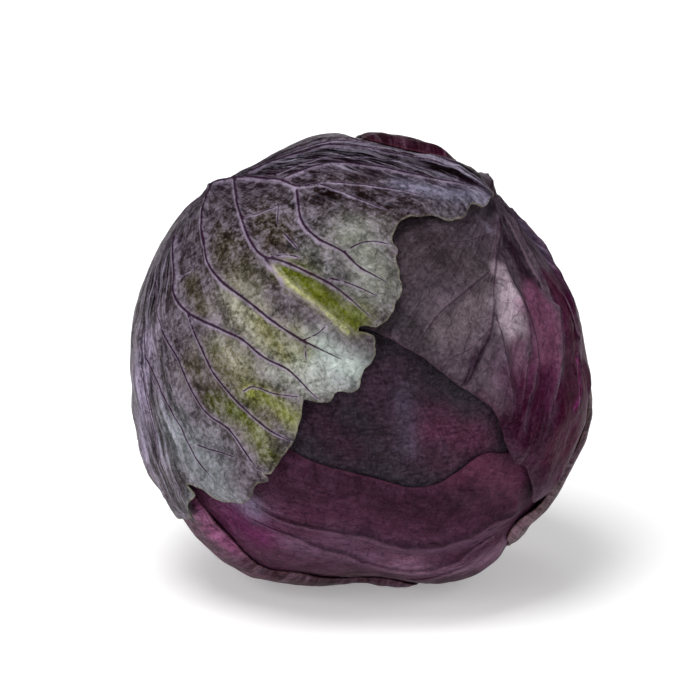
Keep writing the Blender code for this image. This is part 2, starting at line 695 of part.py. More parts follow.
def top_back_leaf():
    outline = [
        *front((31.2, 70.4), (27.3, 71.3), (20.3, 72.9), (13.3, 74.4), (6.3, 76.2), (1.0, 77.8)),
        *back((-6.0, 74.0), (-16.0, 69.0), (-27.0, 60.0), (-27.0, 44.0)),
        *round_stalk(STALK_HOLE, 122, 104, 84, 62),
        *back((8.0, 42.0), (26.0, 50.0), (34.0, 62.0), (33.0, 69.5)),
    ]
    veins = [
        Vein(
            round_stalk(19.0, 92)
            + back((-10.0, 48.0), (2.0, 66.0), (12.0, 74.5)),
            (7.0, 3.0),
            (4.0, 1.3),
        ),
        Vein(back((-10.0, 48.0), (-18.0, 58.0), (-16.0, 70.0)), (3.5, 2.5), (1.5, 0.8)),
        Vein(back((-6.0, 54.0), (14.0, 58.0), (27.0, 64.0)), (3.5, 2.5), (1.5, 0.8)),
    ]
    return Leaf("top_back_leaf", (0.15, 0.05, 0.09), outline, veins, 0.7, 7)


def main():
    for old in list(bpy.data.objects):
        bpy.data.objects.remove(old, do_unlink=True)
    # From the innermost leaf to the outermost
    leaves = [
        lower_leaf(),
        upper_right_leaf(),
        lower_left_leaf(),
        wrapper_leaf(),
        right_back_leaf(),
        top_back_leaf(),
    ]
    folds = [
        Vein(front((0.3, -4.9), (8.0, -3.4), (20.8, -6.3), (36.0, -18.0)), (3.6, 2.6), (1.5, 0.8)),
        Vein(front((6.0, -14.0), (13.3, -8.4), (24.3, -20.8), (30.0, -32.0)), (3.4, 2.6), (1.3, 0.8)),
        Vein(front((-14.0, -26.0), (4.0, -24.0), (25.5, -18.9), (40.6, -17.5)), (3.4, 2.6), (1.3, 0.8)),
    ]
    net = shared_net()
    build_heart(leaves, net, folds)
    build_stalk()
    for leaf in leaves:
        build_leaf(leaf, leaves, net)


main()
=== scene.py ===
"""Looks of the red cabbage head: fine leaves, inner head and cut stalk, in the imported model's frame.

Lengths are millimetres from the middle of the head until the meshes are made. Places on the head are unit
directions from its middle, as in the part's own source, whose forms are repeated here on a finer net.
"""

import math

import bpy
import numpy as np
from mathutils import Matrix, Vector
from mathutils.geometry import delaunay_2d_cdt
from mathutils.kdtree import KDTree


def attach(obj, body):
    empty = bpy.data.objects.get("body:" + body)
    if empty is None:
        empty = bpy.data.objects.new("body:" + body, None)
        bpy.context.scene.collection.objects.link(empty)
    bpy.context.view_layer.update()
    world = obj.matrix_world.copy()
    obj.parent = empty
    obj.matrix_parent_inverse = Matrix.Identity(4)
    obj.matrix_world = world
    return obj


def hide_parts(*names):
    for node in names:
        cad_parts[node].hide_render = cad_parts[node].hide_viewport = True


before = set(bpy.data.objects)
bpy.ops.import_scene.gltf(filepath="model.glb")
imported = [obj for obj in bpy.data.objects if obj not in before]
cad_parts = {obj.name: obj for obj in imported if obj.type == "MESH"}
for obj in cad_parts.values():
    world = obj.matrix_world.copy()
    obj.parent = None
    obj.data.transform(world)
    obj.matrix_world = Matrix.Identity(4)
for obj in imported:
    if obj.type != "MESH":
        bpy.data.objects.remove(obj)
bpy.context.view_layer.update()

MM = 0.001

# The whole head
HEAD_RADIUS = 79.0  # on average, which lengths along the surface are measured with
FRONT_RADIUS = 77.0
BACK_RADIUS = 74.0
LAYERS = 3.6  # the inner head is smaller than the whole by this
LAYERS_OVER = 1.2  # what lies over most of what the front view shows
# Radius of the head's outline in the front view, every 15 degrees, from the right side over the top
OUTLINE_RADII = (
    *(78.7, 78.4, 74.9, 74.8, 78.7, 78.0, 78.5, 79.8),
    *(79.0, 81.6, 81.9, 81.7, 81.6, 81.5, 80.4, 83.4),
    *(84.5, 80.9, 77.1, 81.9, 85.5, 82.0, 80.4, 81.1),
)
HEIGHT = 76.2  # of the head's middle above the surface it lies on
MIDDLE = (0.1, -4.8, HEIGHT)
SPOT_LAYERS = 2.8  # the inner head's flat bottom above that surface
SPOT_LEAF = 0.9  # thickness of the leaf the head rests on, there

# The front view looks down on the head by this angle, from this many head radii away
VIEW_TILT = math.radians(15)
VIEW_DISTANCE = 11.2
FACING = np.array((0.0, -math.cos(VIEW_TILT), math.sin(VIEW_TILT)))
ACROSS = np.array((1.0, 0.0, 0.0))
UPWARD = np.array((0.0, math.sin(VIEW_TILT), math.cos(VIEW_TILT)))
DOWN = np.array((0.0, 0.0, -1.0))

# The stalk
STALK_LEAN = math.radians(9.2)  # to the left of straight back
STALK_AXIS = np.array((-math.sin(STALK_LEAN), math.cos(STALK_LEAN), 0.0))
STALK_SIDE = np.array((math.cos(STALK_LEAN), math.sin(STALK_LEAN), 0.0))
STALK_UP = np.array((0.0, 0.0, 1.0))
STALK_RADIUS = 13.4
STALK_LENGTH = 18.0
STALK_SEAT = 68.4  # flat end of the inner head, from its middle
STALK_HOLE = 15.3  # the leaves begin this far from the stalk's axis
STALK_SIDES = 20

# The finer net
FINE = 1.0  # mm between points where a surface shows
COARSE = 5.0  # and where other leaves cover it
CLOSEST = 0.55  # share of that distance that points of the nets keep from other points
ROW_GAP = 0.5  # mm that points along veins and folds keep from each other
HEXAGONAL = 0.866  # area for each point of an even net, over its spacing squared
UNDER = 5.0  # a surface counts as covered this far inside the margin of what covers it
MARGIN_STEP = 1.2
VEIN_STEP = 1.0
RIM_LEAF = 0.5  # thickness of a leaf at its free margin
RIM_GAP = 0.12  # between that margin and what it lies on
RIM_THINS = 3.0  # a leaf thins to its margin over this length
RIM_SETTLES = 4.0  # and comes down on what it lies on over this one
STEEP = 0.9  # width of a fold's steep side
NO_LINE = 20.0  # taken as the distance from a line where there is none
PAINT_STEP = 6.0  # mm between points of a stroke's line
BATCH = 4000  # directions measured at a time
LEAF = 1.0
GAP = 0.45
HOLD = 1.5  # a leaf still lifts what lies on it this far past its margin
FADE = 12.0
RIB_FADE = 5.0  # a leaf's own ridges and bulges die out over this length under what lies on it
RIM_WIDTH = 16.0  # of the border of a leaf that stands off
HELD = 35.0  # margins lie close this far round the stalk
FREED = 40.0  # and stand off more and more over this length beyond
BULGE = 0.3
BULGE_SPACING = (5.5, 6.5)  # from one bulge to the next is about six times as far
QUILT_WIDTH = 12.0  # the blade bulges most this far off the veins
FLAT_RIM = 7.0  # and is flatter within this of its margin
SPOT_RADIUS = 13.0
SPOT_FADE = 16.0  # the head keeps its plain round form this far round its flat spot
NICKED_FROM = 30.0  # margins have no nicks this near the stalk
NICKED_OVER = 20.0  # and more and more over this length beyond
GRAIN_RADIUS = 35.0  # of the circle that grain coordinates turn on
GRAIN_DRAWN = 9.0  # how much they are drawn out along the veins
DARK_LINE = (0.15, 0.4)  # half width of a vein's dark line: the first, and the second for each mm of height
TIP = 0.2  # veins and folds die out over this share of their length
BLUNT = 0.2  # and with this a vein keeps a tenth of its height at its very end
LOW_VEIN = 2.0  # but one whose height there is this or more doesn't die out
CREST = 0.35  # share of a vein's width and height that its sharp crest takes up
# How much of its lift in the part's source a leaf's margin keeps here, where it isn't all
LIFT_SHARE = {"right_back_leaf": 0.15, "top_back_leaf": 0.1, "lower_left_leaf": 0.25, "lower_leaf": 0.5}
# How far the blade bulges between its veins
QUILTED = {"wrapper_leaf": 0.9, "upper_right_leaf": 0.5}
# How ragged each leaf's free margin is, in mm
RAGGED = {"wrapper_leaf": 0.9, "upper_right_leaf": 0.35, "right_back_leaf": 0.6, "top_back_leaf": 0.7}
# Layers of random relief: the size of its bumps in mm, their height and a seed for each
NICKS = ((4.5, 1.0, 3), (2.1, 0.5, 4))
CRUMPLES = ((7.0, 0.35, 11), (3.2, 0.2, 12))
WRINKLES = ((3.0, 0.3, 13), (1.4, 0.14, 14))
HEART_BUMPS = ((6.0, 0.25, 21), (2.5, 0.125, 22))
CUT_BUMPS = ((1.6, 0.12, 31), (5.0, 0.2, 32))
STROKE_EDGE = ((9.0, 0.3, 41), (3.5, 0.2, 42))

# The camera, in mm: how far off, how far its aim lies beside and above the head's middle, and its lens
CAMERA_AWAY = 885.0
CAMERA_SIDE = -4.2
CAMERA_RISE = 3.85
CAMERA_LENS = 130.1


def unit(vector):
    vector = np.asarray(vector, float)
    return vector / np.linalg.norm(vector, axis=-1, keepdims=True)


def smooth_step(x):
    x = np.clip(x, 0.0, 1.0)
    return x * x * (3.0 - 2.0 * x)


def arc_from(direction, d):
    """Distance in mm of each direction from one direction."""
    return HEAD_RADIUS * np.arccos(np.clip(d @ direction, -1.0, 1.0))


def outline_radius(angle):
    """The front view's outline radius at an angle, smoothly between the listed values."""
    radii = np.array(OUTLINE_RADII)
    place = np.asarray(angle) / (2 * math.pi) * len(radii)
    first = np.floor(place).astype(int)
    f = place - first
    a, b, c, d = (radii[(first + i) % len(radii)] for i in (-1, 0, 1, 2))
    return b + 0.5 * f * (c - a + f * (2 * a - 5 * b + 4 * c - d + f * (3 * (b - c) + d - a)))


def front(*points):
    """Directions of points given as (across, up) in the front view."""
    found = []
    far = VIEW_DISTANCE
    for x, z in points:
        angle = math.atan2(z, x)
        limb = float(outline_radius(angle))
        q = min(0.998, math.hypot(x, z) / limb) * far / math.sqrt(far * far - 1)
        # The head isn't quite round, so where the line of sight meets it is found step by step
        reach = 1.0
        for _ in range(8):
            root = far**4 - (q * q + far * far) * (far * far - reach * reach)
            s = (far * far - math.sqrt(max(root, 0.0))) / (q * q + far * far)
            toward = min(1.0, far * (1 - s) / reach)
            reach = 1.0 - (1.0 - (FRONT_RADIUS - LAYERS_OVER) / limb) * toward * toward
        side = math.cos(angle) * ACROSS + math.sin(angle) * UPWARD
        found.append(unit(q * s * side + far * (1 - s) * FACING))
    return found


def back(*points):
    """Directions of points on the far side, given as (across, up) as they would show through the head."""
    found = []
    for x, z in points:
        angle = math.atan2(z, x)
        share = min(0.998, math.hypot(x, z) / float(outline_radius(angle)))
        side = math.cos(angle) * ACROSS + math.sin(angle) * UPWARD
        found.append(unit(share * side - math.sqrt(1 - share * share) * FACING))
    return found


def round_stalk(distance, *angles):
    """Directions at a distance from the stalk's axis, at angles from the right side over the top."""
    lean = math.asin(distance / (BACK_RADIUS - LAYERS))
    found = []
    for angle in np.radians(angles):
        side = math.cos(angle) * STALK_SIDE + math.sin(angle) * STALK_UP
        found.append(unit(math.sin(lean) * side + math.cos(lean) * STALK_AXIS))
    return found


def blend(a, b, start, end, at):
    return ((end - at) * a + (at - start) * b) / (end - start)


def smooth_line(points, step, closed=False):
    """Directions about every step mm along a smooth line through the given ones."""
    p = np.array(points)
    if closed:
        p = np.vstack((p[-1:], p, p[:2]))
    else:
        p = np.vstack((2 * p[0] - p[1], p, 2 * p[-1] - p[-2]))
    lengths = np.linalg.norm(np.diff(p, axis=0), axis=1)
    t = np.concatenate(((0.0,), np.cumsum(np.sqrt(lengths))))
    line = []
    for i in range(1, len(p) - 2):
        count = max(1, round(HEAD_RADIUS * lengths[i] / step))
        for at in t[i] + (t[i + 1] - t[i]) * np.arange(count) / count:
            a = [blend(p[j], p[j + 1], t[j], t[j + 1], at) for j in (i - 1, i, i + 1)]
            b = [blend(a[j], a[j + 1], t[i - 1 + j], t[i + 1 + j], at) for j in (0, 1)]
            line.append(blend(b[0], b[1], t[i], t[i + 1], at))
    if not closed:
        line.append(p[-2])
    return unit(line)


def noise(points, size, seed):
    """Smooth random values from -1 to 1 at points in mm, with bumps about size mm across."""
    at = points / size
    low = np.floor(at).astype(np.int64)
    f = smooth_step(at - low)
    total = np.zeros(len(points))
    for corner in np.ndindex(2, 2, 2):
        cell = low + corner
        mixed = cell[:, 0] * 73856093 ^ cell[:, 1] * 19349663 ^ cell[:, 2] * 83492791 ^ seed * 2654435761
        mixed = (mixed ^ (mixed >> 13)) * 1274126177 & 0xFFFFFFFF
        value = ((mixed ^ (mixed >> 16)) & 0xFFFF) / 32767.5 - 1.0
        total += value * np.prod(np.where(corner, f, 1.0 - f), axis=1)
    return total


def roughness(points, layers):
    """Several layers of noise, each with its own size, height and seed, added up."""
    return sum(height * noise(points, size, seed) for size, height, seed in layers)


def distance_to(line, d, closed=False):
    """Distance in mm of each direction from a line, and how far along the line it is nearest, 0 to 1."""
    starts = line if closed else line[:-1]
    ends = np.roll(line, -1, axis=0) if closed else line[1:]
    run = ends - starts
    run_square = (run * run).sum(1)
    lengths = np.sqrt(run_square)
    before = np.cumsum(lengths) - lengths
    away = np.empty(len(d))
    along = np.empty(len(d))
    for first in range(0, len(d), BATCH):
        some = d[first : first + BATCH]
        ahead = some @ run.T - (starts * run).sum(1)
        share = np.clip(ahead / run_square, 0.0, 1.0)
        square = 2.0 - 2.0 * (some @ starts.T) - share * (2.0 * ahead - share * run_square)
        nearest = square.argmin(1)
        rows = np.arange(len(some))
        here = slice(first, first + len(some))
        away[here] = HEAD_RADIUS * np.sqrt(np.maximum(square[rows, nearest], 0.0))
        along[here] = (before[nearest] + share[rows, nearest] * lengths[nearest]) / lengths.sum()
    return away, along


def on_the_right(line, d, along):
    """Which directions lie on the right of a line on the way along it, seen from outside."""
    near = np.clip((along * (len(line) - 1)).astype(int), 0, len(line) - 2)
    return (np.cross(line[near], line[near + 1]) * d).sum(1) < 0


def between(ends, share):
    """The value at a share of the way from the first end to the second."""
    return ends[0] + (ends[1] - ends[0]) * share


def beside(line, side):
    """A line of directions this many mm to the side of an open one."""
    ahead = unit(np.gradient(line, axis=0))
    return unit(line + side / HEAD_RADIUS * np.cross(line, ahead))


class Vein:
    """A solid ridge on the outside of a leaf, tapering from its first point to its last."""

    def __init__(self, points, half_widths, heights):
        self.line = smooth_line(points, VEIN_STEP)
        self.half_widths = half_widths
        self.heights = heights

    def height(self, d):
        """The ridge's height, the distance from its crest in half dark lines, and which lie on its right."""
        away, along = distance_to(self.line, d)
        half = between(self.half_widths, along)
        tall = between(self.heights, along)
        if self.heights[1] < LOW_VEIN:
            tall = tall * smooth_step((1.0 - along) / TIP + BLUNT)
        broad = (1.0 - np.clip(away / half, 0.0, 1.0) ** 2) ** 2
        sharp = (1.0 - np.clip(away / (CREST * half), 0.0, 1.0) ** 2) ** 2
        height = tall * ((1.0 - CREST) * broad + CREST * sharp)
        return height, away / (DARK_LINE[0] + DARK_LINE[1] * tall), on_the_right(self.line, d, along)

    def rows(self):
        """The crest, the feet and lines between them, as lines of directions."""
        half = between(self.half_widths, np.linspace(0.0, 1.0, len(self.line))[:, None])
        return [beside(self.line, side * half) for side in (0.0, -0.4, 0.4, -1.0, 1.0)]


class Fold:
    """A crease in a leaf: gently raised on the left of its line, dropping steeply on the right."""

    def __init__(self, points, height, gentle):
        self.line = smooth_line(points, VEIN_STEP)
        self.tall = height
        self.gentle = gentle

    def height(self, d):
        """The crease's height and the distance from its line in mm, negative on the steep side."""
        away, along = distance_to(self.line, d)
        aside = np.where(on_the_right(self.line, d, along), -away, away)
        ends = smooth_step(along / TIP) * smooth_step((1.0 - along) / TIP)
        profile = 1.0 - smooth_step(np.where(aside >= 0, aside / self.gentle, -aside / STEEP))
        return self.tall * ends * profile, np.where(ends > 0.05, aside / np.maximum(ends, 0.05), NO_LINE)

    def rows(self):
        """Lines of directions along the crease, close together on its steep side."""
        return [beside(self.line, side) for side in (0.0, -0.5 * STEEP, -STEEP, 0.9)]


def ragged(line, depth):
    """The line of a margin with small random nicks, none of them beside the stalk."""
    ahead = unit(np.roll(line, -1, axis=0) - np.roll(line, 1, axis=0))
    sideways = np.cross(line, ahead)
    nicks = depth * roughness(HEAD_RADIUS * line, NICKS)
    nicks *= smooth_step((arc_from(STALK_AXIS, line) - NICKED_FROM) / NICKED_OVER)
    return unit(line + (nicks / HEAD_RADIUS)[:, None] * sideways)


class Leaf:
    """A leaf by its outline, its veins and how much its margin stands off."""

    def __init__(self, name, outline, veins, lift, waves):
        self.name = name
        self.outline = ragged(smooth_line(outline, MARGIN_STEP, closed=True), RAGGED.get(name, 0.25))
        self.veins = veins + [Vein(*thin) for thin in FINE_VEINS.get(name, ())]
        self.folds = [Fold(*crease) for crease in FOLDS.get(name, ())]
        self.lift = lift
        self.waves = waves
        self.up = unit(self.outline.mean(0))
        self.right = unit(np.cross((0.31, 0.17, 0.93), self.up))
        self.ahead = np.cross(self.up, self.right)
        self.flat_outline = self.flatten(self.outline)

    def flatten(self, d):
        """Spreads directions on a plane without changing which circles hold which points."""
        share = 1.0 / (1.0 + d @ self.up)
        return np.stack((d @ self.right * share, d @ self.ahead * share), axis=1)

    def raise_up(self, flat):
        """The directions of points on that plane."""
        square = (flat * flat).sum(1)[:, None]
        sideways = 2 * (flat[:, :1] * self.right + flat[:, 1:] * self.ahead)
        return (sideways + (1 - square) * self.up) / (1 + square)

    def holds(self, d):
        """Which directions lie on the leaf."""
        start = self.flat_outline
        end = np.roll(start, -1, axis=0)
        drop = np.where(end[:, 1] == start[:, 1], 1.0, end[:, 1] - start[:, 1])
        slope = (end[:, 0] - start[:, 0]) / drop
        found = np.empty(len(d), bool)
        for first in range(0, len(d), BATCH):
            at = self.flatten(d[first : first + BATCH])
            spans = (start[:, 1] > at[:, 1:]) != (end[:, 1] > at[:, 1:])
            cross = start[:, 0] + (at[:, 1:] - start[:, 1]) * slope
            found[first : first + len(at)] = (spans & (at[:, :1] < cross)).sum(1) % 2 == 1
        return found

    def outside_by(self, d):
        """Distance in mm outside the margin, negative on the leaf, and where along the margin that is."""
        away, along = distance_to(self.outline, d, closed=True)
        return np.where(self.holds(d), -away, away), along

    def stand_off(self, d, away, along, off_vein):
        """How far the blade bulges and its free margin stands off what is below."""
        rim = np.clip(1.0 - away / RIM_WIDTH, 0.0, 1.0) ** 2
        turn = 2 * math.pi * along
        wave = 1.0 + 0.5 * np.sin(self.waves * turn) + 0.3 * np.sin((2 * self.waves + 1) * turn)
        rim *= smooth_step((arc_from(STALK_AXIS, d) - HELD) / FREED)
        off_spot = smooth_step((arc_from(DOWN, d) - SPOT_RADIUS) / SPOT_FADE)
        across, ahead = (HEAD_RADIUS / spacing for spacing in BULGE_SPACING)
        ripple = np.sin(across * (d @ self.right) + 1.0) * np.sin(ahead * (d @ self.ahead))
        bulge = BULGE * (1.0 + ripple) + BULGE
        bulge += roughness(HEAD_RADIUS * d, CRUMPLES) + roughness(self.grain(d), WRINKLES)
        bulge += QUILTED.get(self.name, BULGE) * smooth_step(off_vein / QUILT_WIDTH)
        bulge *= 0.1 + 0.9 * smooth_step(away / FLAT_RIM)
        return off_spot * (LIFT_SHARE.get(self.name, 1.0) * self.lift * rim * wave + bulge)

    def grain(self, d):
        """Points in mm whose first two coordinates turn round the spot the leaf's veins spread from."""
        pivot = GRAIN_FROM[self.name]
        right = unit(np.cross((0.2, 0.5, 0.84), pivot))
        ahead = np.cross(pivot, right)
        turn = np.arctan2(d @ ahead, d @ right)
        round_pivot = GRAIN_RADIUS * np.cos(turn), GRAIN_RADIUS * np.sin(turn)
        return np.stack((*round_pivot, arc_from(pivot, d) / GRAIN_DRAWN), axis=1)


def head_radius(d):
    """How far out the whole head reaches."""
    toward = d @ FACING
    angle = np.arctan2(d @ UPWARD, d @ ACROSS)
    depth = np.where(toward > 0, FRONT_RADIUS, BACK_RADIUS)
    return depth * toward**2 + outline_radius(angle) * (1 - toward**2)


def surface_radius(d, inset=0.0):
    """How far out the surface lies that the head rests on, or a level this much above it."""
    down = np.maximum(-d[:, 2], 1e-3)
    return (HEIGHT - inset) / down


def heart_radius(d):
    """How far out the inner head reaches, flattened at the bottom and where the stalk stands."""
    round_form = head_radius(d) - LAYERS
    seat = STALK_SEAT / np.maximum(d @ STALK_AXIS, 1e-3)
    return np.minimum.reduce((round_form, surface_radius(d, SPOT_LAYERS), seat))


def cover(outside, fade=FADE):
    """1 on a leaf and just round it, falling to 0 further out."""
    return 1.0 - smooth_step((outside - HOLD) / fade)


def veined(veins, d):
    """The veins' height at each direction, how far off the nearest crest is, and 1 on its right."""
    heights, off_crests, rights = (np.array(told, float) for told in zip(*[vein.height(d) for vein in veins]))
    nearest = off_crests.argmin(0), np.arange(len(d))
    return heights.max(0), off_crests[nearest], rights[nearest]


def creased(folds, d):
    """How far the folds lift each direction, and its distance from the nearest fold's line."""
    lift = np.zeros(len(d))
    off_fold = np.full(len(d), NO_LINE)
    for fold in folds:
        height, aside = fold.height(d)
        lift = np.maximum(lift, height)
        off_fold = np.where(np.abs(aside) < np.abs(off_fold), aside, off_fold)
    return lift, off_fold


def leaf_faces(leaf, leaves, d):
    """How far out a leaf's inner and outer faces lie, and what its material is told about each point."""
    place = leaves.index(leaf)
    inner = heart_radius(d) + GAP
    for lower in leaves[:place]:
        inner += cover(lower.outside_by(d)[0]) * (LEAF + GAP)
    free = np.ones(len(d))
    for upper in leaves[place + 1 :]:
        free = np.minimum(free, 1.0 - cover(upper.outside_by(d)[0], fade=RIB_FADE))
    outside, along = leaf.outside_by(d)
    away = np.abs(outside)
    ridge, off_vein, right = veined(leaf.veins, d)
    rib = free * ridge
    lift, off_fold = creased(leaf.folds, d)
    inner -= (GAP - RIM_GAP) * (1.0 - smooth_step(away / RIM_SETTLES))
    inner += free * (leaf.stand_off(d, away, along, off_vein) + lift)
    inner = np.minimum(inner, surface_radius(d, SPOT_LEAF))
    blade = RIM_LEAF + (LEAF - RIM_LEAF) * smooth_step(away / RIM_THINS)
    outer = np.minimum(inner + blade + rib, surface_radius(d))
    told = {
        "vein": off_vein,
        "right": right,
        "fold": off_fold,
        "rim": away,
        "grain": leaf.grain(d),
        "tone": tone(leaf.name, d),
        "streaky": painted(*STREAKS[leaf.name], d),
        "speckly": painted(*SPECKLES.get(leaf.name, (1.0, ())), d),
        "veined": painted(*VEINED.get(leaf.name, (1.0, ())), d),
    }
    return inner, outer, told


def even_net(spacing):
    """Directions spread evenly over the head, about this many mm apart."""
    many = int(4 * math.pi * HEAD_RADIUS**2 / (spacing * spacing * HEXAGONAL))
    count = np.arange(many)
    height = 1.0 - (2.0 * count + 1.0) / many
    angle = math.pi * (3.0 - math.sqrt(5.0)) * count
    round_it = np.sqrt(1.0 - height * height)
    return np.stack((round_it * np.cos(angle), round_it * np.sin(angle), height), axis=1)


def far_enough(candidates, kept, distance):
    """Which candidates stay this many mm away from the kept points."""
    tree = KDTree(len(kept))
    for i, point in enumerate(kept):
        tree.insert(point, i)
    tree.balance()
    return np.array([HEAD_RADIUS * tree.find(point)[2] > distance for point in candidates], bool)


def is_covered(d, uppers):
    """Which directions lie well under another leaf."""
    covered = np.zeros(len(d), bool)
    for upper in uppers:
        left = ~covered
        covered[left] = upper.outside_by(d[left])[0] < -UNDER
    return covered


def filled(points, holds, uppers):
    """Adds the nets to the given points: fine where the surface shows, coarse where it is covered."""
    for spacing, wanted in ((FINE, False), (COARSE, True)):
        net = even_net(spacing)
        net = net[holds(net)]
        net = net[is_covered(net, uppers) == wanted]
        points = np.vstack((points, net[far_enough(net, points, CLOSEST * spacing)]))
    return points


def leaf_net(leaf, uppers):
    """The points of a leaf's faces, with its margin first."""
    points = leaf.outline
    for line in leaf.veins + leaf.folds:
        for row in line.rows():
            row = row[leaf.holds(row) & ~is_covered(row, uppers)]
            points = np.vstack((points, row[far_enough(row, points, ROW_GAP)]))
    return filled(points, leaf.holds, uppers)


def triangles_in(leaf, points):
    """Joins points with triangles that fill a leaf's outline."""
    count = len(leaf.outline)
    ring = [(i, (i + 1) % count) for i in range(count)]
    made = delaunay_2d_cdt([Vector(p) for p in leaf.flatten(points)], ring, [], 1, 1e-7)
    at = np.array([tuple(p) for p in made[0]])
    faces = np.array(made[2])
    a, b, c = (at[faces[:, i]] for i in range(3))
    turn = (b[:, 0] - a[:, 0]) * (c[:, 1] - a[:, 1]) - (b[:, 1] - a[:, 1]) * (c[:, 0] - a[:, 0])
    faces[turn < 0] = faces[turn < 0][:, ::-1]
    return leaf.raise_up(at), faces


def closed_shell(outer, inner, faces):
    """A solid between two faces with the same triangles, walled along their open edges."""
    count = len(outer)
    starts = faces.ravel()
    ends = np.roll(faces, -1, axis=1).ravel()
    reverse = set(zip(ends.tolist(), starts.tolist()))
    open_edges = np.array([edge for edge in zip(starts.tolist(), ends.tolist()) if edge not in reverse])
    a, b = open_edges.T
    wall = np.vstack((np.stack((b, a, a + count), axis=1), np.stack((b, a + count, b + count), axis=1)))
    return np.vstack((outer, inner)), np.vstack((faces, faces[:, ::-1] + count, wall))


def add_piece(name, vertices, faces, told, material):
    """A smooth-shaded mesh that stands for the node of the same name."""
    mesh = bpy.data.meshes.new(name)
    mesh.vertices.add(len(vertices))
    mesh.vertices.foreach_set("co", ((vertices + MIDDLE) * MM).ravel())
    mesh.loops.add(faces.size)
    mesh.loops.foreach_set("vertex_index", faces.ravel())
    mesh.polygons.add(len(faces))
    mesh.polygons.foreach_set("loop_start", np.arange(0, faces.size, 3))
    mesh.polygons.foreach_set("use_smooth", np.ones(len(faces), bool))
    for key, values in told.items():
        if values.ndim == 1:
            mesh.attributes.new(key, "FLOAT", "POINT").data.foreach_set("value", values)
        elif key == "tone":
            rgba = np.hstack((values, np.ones((len(values), 1))))
            mesh.attributes.new(key, "FLOAT_COLOR", "POINT").data.foreach_set("color", rgba.ravel())
        else:
            mesh.attributes.new(key, "FLOAT_VECTOR", "POINT").data.foreach_set("vector", values.ravel())
    mesh.update()
    mesh.validate()
    mesh.materials.append(material)
    piece = bpy.data.objects.new(name + "_look", mesh)
    bpy.context.scene.collection.objects.link(piece)
    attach(piece, "root")
    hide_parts(name)


def build_leaf(leaf, leaves):
    uppers = leaves[leaves.index(leaf) + 1 :]
    d, faces = triangles_in(leaf, leaf_net(leaf, uppers))
    inner, outer, told = leaf_faces(leaf, leaves, d)
    vertices, faces = closed_shell(d * outer[:, None], d * inner[:, None], faces)
    told = {key: np.concatenate((values, values)) for key, values in told.items()}
    add_piece(leaf.name, vertices, faces, told, leaf_material(leaf.name))


def build_heart(leaves, folds):
    """The tight inner head, with the folds of its top leaves where the outer leaves leave it bare."""
    points = folds[0].rows()[0]
    for fold in folds:
        for row in fold.rows():
            points = np.vstack((points, row[far_enough(row, points, ROW_GAP)]))
    points = filled(points, lambda net: np.ones(len(net), bool), leaves)
    # Seen from one pole all other points lie on a plane, and the pole closes the net over its outer ring
    pole_at = int(np.argmax(points @ -FACING))
    pole = points[pole_at]
    side = unit(np.cross(pole, (0.3, 0.1, 0.9)))
    other = np.cross(pole, side)
    rest = np.delete(points, pole_at, axis=0)
    share = 1.0 / (1.0 - rest @ pole)
    flat = np.stack((rest @ side * share, rest @ other * share), axis=1)
    made = delaunay_2d_cdt([Vector(p) for p in flat], [], [], 0, 1e-9)
    faces = [tuple(f) for f in made[2]]
    edges = {(f[i], f[(i + 1) % 3]) for f in faces for i in range(3)}
    faces += [(b, a, len(rest)) for a, b in edges if (b, a) not in edges]
    d = np.vstack((rest, pole))
    faces = np.array(faces)
    a, b, c = (d[faces[:, i]] for i in range(3))
    inward = (np.cross(b - a, c - a) * a).sum(1) < 0
    faces[inward] = faces[inward][:, ::-1]
    bare = 1.0 - np.max([cover(leaf.outside_by(d)[0], fade=RIB_FADE) for leaf in leaves], axis=0)
    ridge, off_vein, right = veined(folds, d)
    relief = bare * (ridge + roughness(HEAD_RADIUS * d, HEART_BUMPS))
    told = {
        "vein": off_vein,
        "right": right,
        "fold": np.full(len(d), NO_LINE),
        "rim": np.full(len(d), NO_LINE),
        "grain": HEAD_RADIUS * d / (1.0, 3.0, 1.0),
        "tone": tone("inner_head", d),
        "streaky": painted(*STREAKS["inner_head"], d),
        "speckly": np.ones(len(d)),
        "veined": np.ones(len(d)),
    }
    add_piece("inner_head", d * (heart_radius(d) + relief)[:, None], faces, told, leaf_material("inner_head"))


